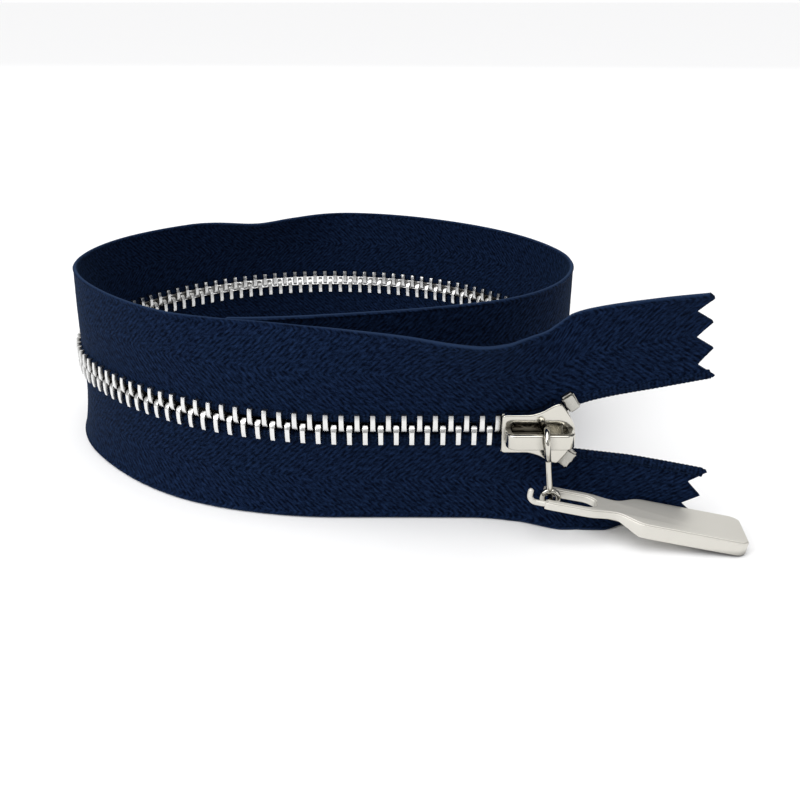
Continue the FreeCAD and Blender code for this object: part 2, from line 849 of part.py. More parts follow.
def divider_corners():
    """Wedge between the blades that parts the rows, narrower than the tapes' gap."""
    half = "dims.divider_half_width"
    return [
        ("dims.divider_tip_x", "0"),
        ("dims.divider_x", f"-{half}"),
        ("dims.divider_end_x", f"-{half}"),
        ("dims.divider_end_x", half),
        ("dims.divider_x", half),
    ]


def add_flanges(body):
    """Rims along both long edges of each blade, with a slot for the tape between."""
    outline = blade_corners()[:4]
    for side, sign in (("upper", ""), ("lower", "-")):
        outer = [(x, f"{sign}({z})") for x, z in outline]
        inner = [(x, f"{sign}({z} - dims.flange_width)") for x, z in reversed(outline)]
        rear_offset = "-dims.blade_inner - dims.overlap"
        for word, offset in (("front", "dims.flange_gap"), ("rear", rear_offset)):
            name = f"{side}_{word}_flange"
            sketch = new_sketch(body, f"{name}_outline", "XZ_Plane", offset=offset)
            add_polygon(sketch, outer + inner)
            pad(body, name, sketch, "dims.blade_inner - dims.flange_gap + dims.overlap")


def slider_crown():
    """The bridge over the front blade that the pull's link hangs from."""
    body = new_body("slider_crown")
    sketch = new_sketch(body, "crown_outline", "XY_Plane")
    wall = "dims.crown_thickness"
    add_polygon(
        sketch,
        [
            ("-dims.crown_back", "-dims.blade_outer"),
            ("-dims.crown_back", "-dims.crown_top"),
            ("dims.crown_front", "-dims.crown_top"),
            ("dims.crown_front", "-dims.blade_outer"),
            (f"dims.crown_front - {wall}", "-dims.blade_outer"),
            (f"dims.crown_front - {wall}", f"-dims.crown_top + {wall}"),
            (f"-dims.crown_back + {wall}", f"-dims.crown_top + {wall}"),
            (f"-dims.crown_back + {wall}", "-dims.blade_outer"),
        ],
    )
    strap = pad(body, "crown_strap", sketch, "2 * dims.crown_half_width", midplane=True)
    up = Vector(0, 0, 1)
    top = -dim("crown_top")
    inside = top + dim("crown_thickness")

    def at_depth(depth):
        """A test for the upright edges at one distance from the tape."""
        return lambda edge: runs_along(edge, up) and abs(edge.Vertexes[0].Y - depth) < 1e-6

    rounded = fillet(body, "crown_outer_round", strap, "dims.crown_outer_rounding", at_depth(top))
    fillet(body, "crown_inner_round", rounded, "dims.crown_inner_rounding", at_depth(inside))
    return body


def lock_pawl():
    """The lever under the crown whose foot reaches through the front blade."""
    body = new_body("lock_pawl")
    lever = new_sketch(body, "pawl_lever_outline", "XY_Plane")
    blade = "-dims.blade_outer"
    add_rectangle(
        lever,
        "dims.pawl_back_x",
        "dims.pawl_front_x",
        f"{blade} - dims.pawl_top",
        f"{blade} - dims.pawl_lift",
    )
    pad(body, "pawl_lever", lever, "dims.pawl_width", midplane=True)
    foot = new_sketch(body, "pawl_foot_outline", "XY_Plane")
    add_rectangle(
        foot,
        "dims.pawl_hole_x - dims.foot_half_length",
        "dims.pawl_hole_x + dims.foot_half_length",
        f"{blade} - dims.pawl_lift - dims.overlap",
        "-dims.foot_depth",
    )
    pad(body, "pawl_foot", foot, "dims.foot_width", midplane=True)
    return body


def lock_spring():
    """The flat arched spring between the crown and the pawl."""
    body = new_body("lock_spring")
    sketch = new_sketch(body, "spring_outline", "XY_Plane")
    seat = "-dims.crown_top + dims.crown_thickness + dims.spring_gap"
    under_seat = f"{seat} + dims.spring_thickness"
    touch = "-dims.blade_outer - dims.pawl_top - dims.spring_gap"
    above_touch = f"{touch} - dims.spring_thickness"
    add_polygon(
        sketch,
        [
            ("dims.spring_back_x", seat),
            ("dims.spring_back_bend_x", seat),
            ("dims.spring_dip_back_x", above_touch),
            ("dims.spring_dip_front_x", above_touch),
            ("dims.spring_front_bend_x", seat),
            ("dims.spring_front_x", seat),
            ("dims.spring_front_x", under_seat),
            ("dims.spring_front_bend_x + dims.spring_slant", under_seat),
            ("dims.spring_dip_front_x + dims.spring_slant", touch),
            ("dims.spring_dip_back_x - dims.spring_slant", touch),
            ("dims.spring_back_bend_x - dims.spring_slant", under_seat),
            ("dims.spring_back_x", under_seat),
        ],
    )
    pad(body, "spring_strip", sketch, "dims.spring_width", midplane=True)
    return body


# Pull --------------------------------------------------------------------------------


def crown_bar_depth():
    """Distance from the tape's middle to the middle of the crown's bar."""
    return dim("crown_top") - dim("crown_thickness") / 2


def link_placement():
    """The link's frame: origin on the crown's bar, turned and leaning as it hangs."""
    hang = Rotation(Vector(0, 0, 1), -dim("pull_yaw")) * Rotation(Vector(0, 1, 0), -dim("link_lean"))
    return slider_frame().multiply(Placement(Vector(dim("link_x"), -crown_bar_depth(), 0), hang))


def pull_link():
    """The link: a teardrop ring round the crown's bar, a stem and an eye below it."""
    body = new_body("pull_link")
    ring = new_sketch(body, "link_ring_outline", "YZ_Plane")
    add_circle(ring, "0", "0", "dims.link_inner_radius + dims.link_wire")
    pad(body, "link_ring", ring, "dims.link_wire", midplane=True)
    stem = new_sketch(body, "link_stem_outline", "YZ_Plane")
    wire = "dims.link_wire"
    eye_top = "-dims.link_length + dims.eye_inner_radius + dims.stem_blend"
    shoulder = "dims.link_inner_radius + dims.stem_blend"
    narrow = "-dims.link_length / 2 - dims.stem_blend"
    add_polygon(
        stem,
        [
            (f"-({shoulder})", "-dims.stem_shoulder_drop"),
            (f"-{wire} / 2", narrow),
            (f"-{wire} / 2", eye_top),
            (f"{wire} / 2", eye_top),
            (f"{wire} / 2", narrow),
            (shoulder, "-dims.stem_shoulder_drop"),
        ],
    )
    pad(body, "link_stem", stem, "dims.link_wire", midplane=True)
    hole = new_sketch(body, "link_hole_outline", "YZ_Plane")
    add_circle(hole, "0", "0", "dims.link_inner_radius")
    pocket(body, "link_hole", hole, "2 * dims.link_wire")
    eye = new_sketch(body, "link_eye_outline", "XZ_Plane")
    add_circle(eye, "0", "-dims.link_length", "dims.eye_outer_radius")
    pad(body, "link_eye", eye, "dims.link_wire", midplane=True)
    eye_hole = new_sketch(body, "link_eye_hole_outline", "XZ_Plane")
    add_circle(eye_hole, "0", "-dims.link_length", "dims.eye_inner_radius")
    pocket(body, "link_eye_hole", eye_hole, "2 * dims.link_wire")
    body.Placement = link_placement()
    return body


def pull_placement():
    """The pull's frame: origin in the link's eye, +X down the pull to the surface."""
    eye = link_placement().multVec(Vector(0, 0, -dim("link_length")))
    below_pin = dim("pull_thickness") - dim("fork_thickness") / 2
    pitch = math.degrees(math.asin((eye.z - below_pin) / dim("pull_length")))
    spin = Rotation(Vector(0, 0, 1), -dim("pull_yaw")) * Rotation(Vector(0, 1, 0), pitch)
    return Placement(eye, spin)


def pull_tab():
    """The pull: a fork round the link's eye, a neck, a flat bar and an open hook."""
    body = new_body("pull_tab")
    outline = new_sketch(body, "pull_outline", "XY_Plane", offset="dims.fork_thickness / 2")
    half = [
        ("dims.fork_end", "dims.fork_half_width - dims.fork_chamfer"),
        ("dims.fork_chamfer_x", "dims.fork_half_width"),
        ("dims.fork_straight_end", "dims.fork_half_width"),
        ("dims.neck_start", "dims.neck_half_width"),
        ("dims.neck_end", "dims.neck_half_width"),
        ("dims.bar_start", "dims.bar_half_width"),
        ("dims.pull_length - dims.bar_corner", "dims.bar_half_width"),
        ("dims.pull_length", "dims.bar_half_width - dims.bar_corner"),
    ]
    add_polygon(outline, half + mirrored(half))
    plate = pad(body, "pull_plate", outline, "dims.pull_thickness")
    plate.Reversed = True
    under = new_sketch(body, "pull_underside_outline", "XZ_Plane")
    below = "dims.fork_thickness / 2 - dims.pull_thickness - dims.overlap"
    add_polygon(
        under,
        [
            ("dims.slot_mouth", below),
            ("dims.bar_start", below),
            ("dims.underside_start", "-dims.fork_thickness / 2"),
            ("dims.slot_mouth", "-dims.fork_thickness / 2"),
        ],
    )
    pocket(body, "pull_underside", under, "4 * dims.bar_half_width")
    slot = new_sketch(body, "pull_slot_outline", "XY_Plane")
    side = "dims.slot_half_width"
    slot_half = [
        ("dims.slot_mouth", side),
        ("dims.slot_end - dims.slot_round", side),
        ("dims.slot_end - dims.slot_tip", "dims.slot_round_half_width"),
        ("dims.slot_end", "dims.slot_tip_half_width"),
    ]
    add_polygon(slot, slot_half + mirrored(slot_half))
    pocket(body, "pull_slot", slot, "3 * dims.fork_thickness")
    add_hook(body)
    body.Placement = pull_placement()
    return body


def add_hook(body):
    """The near rail's round end, curled up into a small open hook."""
    rail = "(dims.slot_half_width + dims.fork_half_width) / 2"
    path = new_sketch(body, "hook_path", "XZ_Plane", offset=rail)
    radius = dim("hook_radius")
    bend_x = dim("hook_bend")
    centre = Vector(bend_x, radius, 0)
    root = Vector(dim("hook_root"), 0, 0)
    lead = Part.LineSegment(root, Vector(bend_x, 0, 0))
    arc = Part.ArcOfCircle(Part.Circle(centre, Vector(0, 0, 1), radius), math.pi, 1.5 * math.pi)
    tip_x = bend_x - radius
    rise = Part.LineSegment(Vector(tip_x, radius, 0), Vector(tip_x, dim("hook_rise"), 0))
    for piece in (lead, arc, rise):
        path.addGeometry(piece, False)
    path.addConstraint(Sketcher.Constraint("Tangent", 0, 2, 1, 2))
    path.addConstraint(Sketcher.Constraint("Tangent", 1, 1, 2, 1))
    index = path.addConstraint(Sketcher.Constraint("Radius", 1, radius))
    path.setExpression(f"Constraints[{index}]", "dims.hook_radius")
    section = new_sketch(body, "hook_section", "YZ_Plane", offset="dims.hook_root")
    add_circle(section, f"-{rail}", "0", "dims.pin_radius")
    hook = body.newObject("PartDesign::AdditivePipe", "hook")
    hook.Profile = section
    hook.Spine = path


def pull_pin():
    """The round pin pressed through the fork, which the link's eye turns on."""
    body = new_body("pull_pin")
    section = new_sketch(body, "pin_section", "XZ_Plane")
    add_circle(section, "0", "0", "dims.pin_radius")
    pad(body, "pin", section, "2 * dims.fork_half_width - dims.pin_end_gap", midplane=True)
    body.Placement = pull_placement()
    return body


# Assembly ----------------------------------------------------------------------------


def build():
    """Every sub-part of the zipper."""
    parts = [lower_tape(), upper_tape(), upper_tail_tape()]
    parts += cords()
    parts += tooth_rows()
    parts += [top_stop("lower_top_stop", -1), top_stop("upper_top_stop", 1), bottom_stop()]
    parts += [slider_body(), slider_crown(), lock_pawl(), lock_spring()]
    parts += [pull_link(), pull_tab(), pull_pin()]
    return parts


def check_and_write(parts):
    """Refuses a failed object or a bad shape, then writes each sub-part."""
    doc.recompute()
    for thing in doc.Objects:
        if "Invalid" in thing.State or "Error" in thing.State:
            raise RuntimeError(f"{thing.Label} failed: {thing.State}")
    os.makedirs("parts", exist_ok=True)
    whole = FreeCAD.BoundBox()
    for part in parts:
        shape = part.Shape
        if shape.isNull() or not shape.isValid():
            raise RuntimeError(f"{part.Label} has no valid shape")
        whole.add(shape.BoundBox)
        print(f"{part.Label}: {len(shape.Solids)} solids, {shape.Volume:.2f} mm3")
        shape.exportStep(f"parts/{part.Label}.step")
    print(f"box {whole}")


check_and_write(build())
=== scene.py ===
import math

import bmesh
import bpy
import numpy as np
from mathutils import Matrix, Vector, noise


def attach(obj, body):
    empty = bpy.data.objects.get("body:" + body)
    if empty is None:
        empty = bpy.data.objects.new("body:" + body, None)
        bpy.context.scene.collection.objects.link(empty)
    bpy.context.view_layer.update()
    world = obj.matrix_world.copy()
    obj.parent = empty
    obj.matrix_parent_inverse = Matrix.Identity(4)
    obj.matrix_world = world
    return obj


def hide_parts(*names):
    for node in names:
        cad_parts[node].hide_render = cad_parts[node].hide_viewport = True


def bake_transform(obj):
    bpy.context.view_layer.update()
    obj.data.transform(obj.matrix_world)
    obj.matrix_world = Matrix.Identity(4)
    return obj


# A coiled metal zipper standing on the edge of its tape. Lengths are in millimetres
# until a mesh is made, and places are in the CAD model's frame.

MM = 0.001

# Where the closed slider's centre stands, on the chain's centre line.
SLIDER_X = 21.6
FRONT_Y = -28.6
CHAIN_Z = 13.25

# The tape's line in plan: the lower tail, the straight front run and five bends.
TAIL_RUN = 15.9
TAIL_RADIUS = 8.0
TAIL_TURN = 9.0
TAIL_LEAD = 5.0
FRONT_RUN = 22.5
BENDS = [(51.5, 51.5), (26.0, 75.0), (40.5, 126.5), (22.0, 87.0), (85.0, 24.0)]
PLAN_STEP = 0.05
# A run beyond the hidden end, which closes every list of stations.
PAST_END = 300.0

# Tape.
TAPE_WIDTH = 12.35
TAPE_THICKNESS = 0.46
# The power by which a flare grows across the tape, and half the gap between the tapes.
CURL = 2.4
EDGE_GAP = 0.9
UPPER_REACH = 22.1
PIVOT_RUN = 20.04
SEAM_RUN = 24.0
GRID_STEP = 0.25
PINKING_PITCH = 3.8
PINKING_DEPTH = 2.1
TWILL_PITCH = 0.85
TWILL_RELIEF = 0.06
RIDGE_POWER = 0.7
RIB_SHARE = 0.4
SELVEDGE_SHARE = 1.4
PINKING_START = 0.94
EDGE_THINNING = 0.3
# How the threads stray from a perfect herringbone: waves along, across and aslant, how
# much one bends the next, and how far they shift and flatten a ridge.
WANDER_ALONG = 1.3
WANDER_ACROSS = 2.21
WANDER_ASLANT = 2.99
WANDER_SWAY = 2.0
WANDER_TWIST = 1.5
SLACK_SHIFT = 0.12
SLACK_LOSS = 0.2
TWILL_BANDS = [1.2, 6.5, 11.7]
SELVEDGE = 0.5
CORD_RADIUS = 0.6
CORD_RIB = 0.55
CORD_SINK = 0.8
CORD_WAIST = 0.94
CORD_SWELL = 0.1

# Inner edge of each half tape: (run from the slider, distance from the chain's centre).
PARTING = [(-4.58, 3.17), (-3.55, 2.47), (-2.51, 1.77), (-1.15, 1.12), (0.34, EDGE_GAP), (2.0, EDGE_GAP)]
LOWER_EDGE = [(-23.5, 4.9), (-16.0, 3.8), (-11.0, 3.3), (-7.0, 3.2)] + PARTING + [(PAST_END, EDGE_GAP)]
UPPER_EDGE = [(-23.0, 7.3), (-15.5, 5.8), (-7.6, 4.2)] + PARTING + [(PAST_END, EDGE_GAP)]

# How far each half tape's inner and outer edges stand out of the coil: (run, distance).
LOWER_INNER_FLARE = [
    (-23.5, 0.2), (-16.0, 0.4), (-11.0, 0.4), (-7.0, 0.2), (-4.6, 0.0), (PAST_END, 0.0),
]
LOWER_FLARE = [
    (-22.0, 0.4), (-16.0, 0.5), (-13.5, 1.1), (-10.5, 3.1), (-4.0, 3.6), (2.0, 1.5), (8.0, 0.5),
    (22.0, 0.4), (33.0, 1.0), (50.0, 2.0), (66.0, 1.6), (85.0, 1.2), (110.0, 0.4), (PAST_END, 0.3),
]
UPPER_INNER_FLARE = [(-23.0, 0.0), (PAST_END, 0.0)]
UPPER_FLARE = [
    (-23.0, 3.4), (-16.0, 2.1), (-8.0, 1.0), (-3.0, 0.2), (0.0, 1.2), (2.2, 2.5), (4.5, 3.7),
    (7.5, 4.2), (11.0, 3.7), (16.5, 2.0), (22.0, 0.4), (29.0, -1.6), (36.0, -2.6), (43.0, -1.5),
    (50.0, -0.5), (70.0, -0.9), (85.0, 0.0), (113.0, -0.6), (126.0, -3.9), (133.0, -2.5),
    (145.0, 0.8), (165.0, 0.0), (190.0, 0.6), (210.0, -0.3), (240.0, 0.2), (262.0, 1.5),
    (PAST_END, 1.5),
]

# How far each half tape's outer edge lags behind its inner edge: (run, distance).
LOWER_LAG = [(-22.0, 1.6), (-12.0, 1.0), (0.0, 0.0), (PAST_END, 0.0)]
UPPER_LAG = [(-23.0, 2.6), (-15.0, 2.3), (-8.0, 1.6), (0.0, 0.5), (8.0, 0.0), (PAST_END, 0.0)]

# Chain.
TOOTH_PITCH = 2.0
CHAIN_LENGTH = 250.0
SPLIT_START = 0.34
SPLIT_RADIUS = 6.0
SPLIT_TURN = 34.0
SPLIT_FLANK = 2.5
STOP_WIDTH = 1.6
TOOTH_CLEARANCE = 0.72
# Half a tooth's width along the row at heights from its head to its legs.
HEAD_HEIGHTS = [-0.52, -0.35, -0.1, 0.15, 2.07]
HEAD_HALVES = [0.3, 0.43, 0.37, 0.31, 0.31]
STOP_HALF_SIZES = (0.8, 1.15, 1.2)
STOP_MIDDLE = 1.8
BOTTOM_STOP_HALF_SIZES = (1.1, 1.3, 2.5)
STOP_ROUNDING = 0.2
DENT_SCALE = 2.1
DENT_DEPTH = 0.13
TOOTH_ROUNDING = 0.06

# Slider, in its own frame: X towards its nose, Y away from the viewer, Z up.
BLADE_HALF = [
    (-4.66, 2.65), (-1.1, 2.65), (0.3, 3.1), (1.9, 4.1), (2.6, 4.2), (3.0, 3.8), (3.95, 2.45),
    (4.56, 1.1), (4.66, 0.4),
]
BLADE_MIDDLE = 1.65
BLADE_THICKNESS = 0.9
FLANGE_WIDTH = 0.5
FLANGE_INNER = 0.45
FLANGE_ROOT = 0.4
FLANGE_ROUNDING = 0.08
BLADE_CORNER = 0.5
BLADE_ROUNDING = 0.2
HOLE_CORNER = 0.2
DIVIDER_OVERLAP = 0.1
DIVIDER_ROUNDING = 0.05
DIVIDER = [(2.9, 0.0), (4.0, -0.7), (4.4, -0.7), (4.4, 0.7), (4.0, 0.7)]
PAWL_HOLE = (-2.2, 0.45)
CROWN_BACK = -4.3
CROWN_FRONT = 4.4
CROWN_FOOT = 2.1
CROWN_TOP = 4.7
CROWN_WALL = 0.8
CROWN_HALF_WIDTH = 1.0
CROWN_SHOULDER = 1.3
CROWN_INNER_SHOULDER = 0.7
CROWN_ROUNDING = 0.22

# Link and pull. The pull's frame starts at the link's eye and runs down the pull.
LINK_X = 0.8
LINK_LEAN = 6.25
LINK_DEPTH = 4.3
LINK_WIRE = 0.375
LINK_RING = 1.575
LINK_LENGTH = 7.95
STEM_WIRE = 0.4125
# The ring is drawn down into the stem: how far, how sharply, and where the stem starts.
# The first and the last are shares of the ring's radius.
RING_DRAW = 0.55
RING_TAPER = 4
STEM_START = 1.5
EYE_RING = 1.0
EYE_WIRE = 0.4
PULL_YAW = 6.0
PULL_PITCH = 8.86
FORK_HALF_THICKNESS = 0.55
PULL_STEP = 0.16
PULL_ROUNDING = 0.14
FACE_ROUNDING = 0.1
PULL_CORNER = 0.9
SLOT_CORNER = 0.4
BAR_UNDERSIDE = -1.45
NECK_END = 8.6
NECK_SLOPE = 2.8
PULL_HALF = [
    (-0.9, 2.05), (-0.5, 2.3), (5.2, 2.3), (7.6, 1.7), (8.9, 1.7), (11.4, 3.3), (24.2, 3.3),
    (25.3, 2.2),
]
SLOT_HALF = [(-0.9, 1.3), (4.75, 1.3), (5.65, 0.8), (5.95, 0.3)]
# A half outline's eased points, less those that would round its open ends.
OPEN_PART = slice(3, -3)
HOOK_RAIL = -1.8
HOOK_RADIUS = 0.95
HOOK_RISE = 1.45
HOOK_START = -0.4
HOOK_BEND = -1.9
HOOK_STEP = 0.25
HOOK_WIRE = 0.36

# Faces meeting at more than these angles, in degrees, keep a crisp edge.
TAPE_CREASE = 60
TOOTH_CREASE = 40
METAL_CREASE = 35
CAD_CREASE = 30

# How finely curves are drawn.
ARC_STEPS = 8
RING_STEPS = 40
EYE_STEPS = 32
WIRE_SIDES = 16
CORD_SIDES = 12

# Looks.
THREAD_SHARE = 0.12
# Painted highlight along the tape's outer edge: its colour and its width in millimetres.
PAINTED_EDGE_HIGHLIGHT_COLOUR = (0.014, 0.028, 0.066, 1.0)
PAINTED_EDGE_HIGHLIGHT_BAND = 0.2
# Painted shade: metal's colour goes dark where another face is this near, in metres.
PAINTED_SHADE_REACH = 0.0016
PAINTED_SHADE_COLOUR = (0.03, 0.026, 0.02, 1.0)
SMOOTHEST = 0.02

# Camera: its place in millimetres and its tilt below level in degrees.
CAMERA_PLACE = (4.0, -133.6, 63.5)
CAMERA_TILT = 23.83


# Small helpers -----------------------------------------------------------------------


def through(stations, places):
    """A smooth curve through (place, value) stations that never overshoots them."""
    at, values = np.array(stations, float).T
    chords = np.diff(values) / np.diff(at)
    slopes = np.concatenate([chords[:1], np.zeros(len(at) - 2), chords[-1:]])
    before, after = chords[:-1], chords[1:]
    steady = before * after > 0
    slopes[1:-1][steady] = 2 * (before * after)[steady] / (before + after)[steady]
    index = np.clip(np.searchsorted(at, places) - 1, 0, len(at) - 2)
    width = at[index + 1] - at[index]
    t = np.clip((places - at[index]) / width, 0.0, 1.0)
    rise = t * t * (3 - 2 * t)
    leave = t * (1 - t) ** 2 * width * slopes[index]
    arrive = t * t * (t - 1) * width * slopes[index + 1]
    return values[index] + rise * (values[index + 1] - values[index]) + leave + arrive


def plan_line():
    """Runs, places and headings of the tape's line, from the lower tail's end inwards."""
    pieces = [(TAIL_RUN, 0.0), (TAIL_RADIUS * math.radians(TAIL_TURN), -TAIL_TURN), (TAIL_LEAD, 0.0)]
    before = sum(length for length, _ in pieces)
    pieces.append((FRONT_RUN, 0.0))
    pieces += [(radius * math.radians(turn), turn) for radius, turn in BENDS]
    headings = [180.0 - TAIL_TURN]
    steps = []
    for length, turn in pieces:
        count = max(1, round(length / PLAN_STEP))
        for _ in range(count):
            headings.append(headings[-1] - turn / count)
            steps.append(length / count)
    middle = np.radians((np.array(headings[1:]) + np.array(headings[:-1])) / 2)
    steps = np.array(steps)
    x = np.concatenate([[0], np.cumsum(np.cos(middle) * steps)])
    y = np.concatenate([[0], np.cumsum(np.sin(middle) * steps)])
    runs = np.concatenate([[0], np.cumsum(steps)]) - before
    x += SLIDER_X - np.interp(0, runs, x)
    y += FRONT_Y - np.interp(0, runs, y)
    return runs, x, y, np.radians(headings)


PLAN = plan_line()
HIDDEN_END = PLAN[0][-1]
TAIL_END = PLAN[0][0]


def straight_plan(runs):
    """The upper tail's line in plan: straight on past the slider."""
    heading = np.full_like(runs, math.pi)
    return SLIDER_X - runs, np.full_like(runs, FRONT_Y), heading


def coil_plan(runs):
    """Places and headings on the tape's line."""
    return tuple(np.interp(runs, PLAN[0], values) for values in PLAN[1:])


def upper_plan(runs):
    """The upper half tape's line: the coil, then straight on past the slider."""
    coiled = coil_plan(np.maximum(runs, 0.0))
    straight = straight_plan(runs)
    return tuple(np.where(runs > 0, a, b) for a, b in zip(coiled, straight))


def new_piece(name, points, faces, material):
    """A smooth mesh piece from points in millimetres."""
    mesh = bpy.data.meshes.new(name)
    mesh.from_pydata((np.asarray(points) * MM).tolist(), [], [list(face) for face in faces])
    mesh.update()
    mesh.materials.append(material)
    mesh.polygons.foreach_set("use_smooth", [True] * len(mesh.polygons))
    piece = bpy.data.objects.new(name, mesh)
    bpy.context.scene.collection.objects.link(piece)
    return piece


def grid_faces(rows, columns, closed=False):
    """Quads of a grid of points numbered row by row."""
    row, column = np.meshgrid(np.arange(rows - 1), np.arange(columns - (not closed)), indexing="ij")
    after = (column + 1) % columns
    corners = [row * columns + column, row * columns + after]
    corners += [(row + 1) * columns + after, (row + 1) * columns + column]
    return np.stack(corners, -1).reshape(-1, 4)


def around(sides):
    """Angles of a ring's points, once round."""
    return np.linspace(0, 2 * math.pi, sides, endpoint=False)


def round_rings(angle, across, other):
    """A ring of directions at each place on a line, from two square directions there."""
    return np.cos(angle)[None, :, None] * across[:, None] + np.sin(angle)[None, :, None] * other[:, None]


def outward(piece):
    """Turns every face of a closed mesh outwards."""
    shell = bmesh.new()
    shell.from_mesh(piece.data)
    bmesh.ops.recalc_face_normals(shell, faces=shell.faces)
    shell.to_mesh(piece.data)
    shell.free()
    return piece


# Tapes -------------------------------------------------------------------------------


def tape_surface(shape, runs, across):
    """Middle surface of a half tape; across is the distance from its inner edge."""
    share = across / TAPE_WIDTH
    lag = through(shape["lag"], runs) * share
    x, y, heading = shape["plan"](runs + lag)
    inner = CHAIN_Z + shape["side"] * through(shape["edge"], runs)
    inner_out = through(shape["inner_flare"], runs)
    outer_out = through(shape["flare"], runs)
    if shape["side"] > 0:
        outer = inner + np.sqrt(TAPE_WIDTH**2 - (outer_out - inner_out) ** 2)
    else:
        outer = np.full_like(inner, TAPE_THICKNESS / 4)
    offset = inner_out + (outer_out - inner_out) * share**CURL
    points = [x - np.sin(heading) * offset, y + np.cos(heading) * offset]
    bulge = TAPE_WIDTH / np.abs(outer - inner)
    points.append(inner + (outer - inner) * (1 - (1 - share) ** bulge))
    return np.stack(points, -1)


def weave_relief(runs, across):
    """Height of the herringbone ridges and of the thicker selvedge."""
    band = np.searchsorted(TWILL_BANDS, across)
    lean = np.where(band % 2 == 0, 1.0, -1.0)
    phase = (runs + lean * across) * math.sqrt(0.5) / TWILL_PITCH
    slack = thread_slack(runs, across)
    ridge = np.abs(np.sin(math.pi * (phase + SLACK_SHIFT * slack))) ** RIDGE_POWER - 0.5
    ridge = ridge * (1 - SLACK_LOSS + SLACK_LOSS * slack)
    twilled = (band > 0) & (band < len(TWILL_BANDS))
    ribs = np.sin(2 * math.pi * across / TWILL_PITCH) * RIB_SHARE
    edge = np.clip((across - TAPE_WIDTH + SELVEDGE) / SELVEDGE, 0, 1)
    return TWILL_RELIEF * (np.where(twilled, ridge, ribs) + SELVEDGE_SHARE * np.sin(math.pi * edge))


def thread_slack(runs, across):
    """A waver between about -2 and 2 by which the threads stray."""
    waver = np.sin(WANDER_ALONG * runs + WANDER_SWAY * np.sin(WANDER_ACROSS * across))
    return waver + np.sin(WANDER_ASLANT * (runs - across) + WANDER_TWIST * waver)


def zigzag(across):
    """How far the herringbone has slid along the tape at a distance from its inner edge."""
    edges = np.array([0.0] + TWILL_BANDS + [TAPE_WIDTH])
    slides = np.cumsum([0.0] + [width * (-1) ** i for i, width in enumerate(np.diff(edges))])
    return np.interp(across, edges, slides)


def pinking(across):
    """How far a pinked end is cut back, at a distance from the tape's inner edge."""
    wave = np.abs((across / PINKING_PITCH + PINKING_START) % 1.0 - 0.5) * 2
    return PINKING_DEPTH * (1 - wave)


def tape_piece(name, shape, start, end, pinked):
    """A half tape between two runs as a thin closed solid, with its weave as relief."""
    across_steps = round(TAPE_WIDTH / GRID_STEP) + 1
    run_steps = round((end - start) / GRID_STEP) + 1
    runs, across = np.meshgrid(
        np.linspace(start, end, run_steps), np.linspace(0, TAPE_WIDTH, across_steps), indexing="ij"
    )
    cut = pinking(across)
    for end_run, sign in ((start, 1), (end, -1)):
        if end_run in pinked:
            near = np.clip(1 - np.abs(runs - end_run) / (2 * PINKING_DEPTH), 0, 1)
            runs = runs + sign * cut * near
    middle = tape_surface(shape, runs, across)
    along = np.gradient(middle, axis=0)
    up = np.gradient(middle, axis=1)
    normal = np.cross(along, up)
    normal /= np.linalg.norm(normal, axis=-1, keepdims=True)
    half = TAPE_THICKNESS / 2 + weave_relief(runs, across)
    from_edge = np.minimum(across, TAPE_WIDTH - across)
    thinning = np.sqrt(np.clip(from_edge / GRID_STEP, EDGE_THINNING, 1))
    lift = normal * (half * thinning)[..., None]
    front = (middle + lift).reshape(-1, 3)
    back = (middle - lift).reshape(-1, 3)
    count = len(front)
    faces = grid_faces(run_steps, across_steps)
    rim = rim_loop(run_steps, across_steps)
    walls = [(a, b, b + count, a + count) for a, b in zip(rim, np.roll(rim, -1))]
    all_faces = faces.tolist() + (faces[:, ::-1] + count).tolist() + walls
    piece = new_piece(name, np.concatenate([front, back]), all_faces, NAVY_TWILL)
    shade_by_angle(piece, TAPE_CREASE)
    pattern = np.stack([runs + zigzag(across), across], -1).reshape(-1, 2)
    add_weave_map(piece, np.concatenate([pattern, pattern]))
    return outward(piece)


def rim_loop(rows, columns):
    """Numbers of a grid's outer points, once round."""
    last = (rows - 1) * columns
    bottom = np.arange(columns)
    right = np.arange(columns - 1, rows * columns, columns)
    top = last + np.arange(columns)[::-1]
    left = np.arange(0, rows * columns, columns)[::-1]
    return np.concatenate([bottom[:-1], right[:-1], top[:-1], left[:-1]])


def add_weave_map(piece, pattern):
    """Stores each point's run and distance across the tape, for the weave's shading."""
    layer = piece.data.uv_layers.new(name="weave")
    corners = np.zeros(len(piece.data.loops), np.int32)
    piece.data.loops.foreach_get("vertex_index", corners)
    layer.data.foreach_set("uv", pattern[corners].astype(np.float32).ravel())


def cord_piece(name, shape, start, end):
    """The ribbed cord woven along a tape's inner edge."""
    ring_step = CORD_RIB / 4
    runs = np.linspace(start, end, round((end - start) / ring_step) + 1)
    centre = tape_surface(shape, runs, np.full_like(runs, CORD_RADIUS * CORD_SINK))
    along = np.gradient(centre, axis=0)
    along /= np.linalg.norm(along, axis=-1, keepdims=True)
    sideways = np.cross(along, [0, 0, 1])
    sideways /= np.linalg.norm(sideways, axis=-1, keepdims=True)
    up = np.cross(sideways, along)
    angle = around(CORD_SIDES)
    twist = 2 * math.pi * runs[:, None] / CORD_RIB + angle[None, :]
    radius = CORD_RADIUS * (CORD_WAIST + CORD_SWELL * np.abs(np.sin(twist / 2)))
    ring = round_rings(angle, sideways, up)
    points = (centre[:, None] + ring * radius[..., None]).reshape(-1, 3)
    faces = grid_faces(len(runs), CORD_SIDES, closed=True).tolist()
    faces.append(list(range(CORD_SIDES))[::-1])
    faces.append([len(points) - CORD_SIDES + i for i in range(CORD_SIDES)])
    piece = new_piece(name, points, faces, NAVY_CORD)
    pattern = np.stack(np.broadcast_arrays(runs[:, None], angle[None, :]), -1).reshape(-1, 2)
    add_weave_map(piece, pattern)
    return outward(piece)


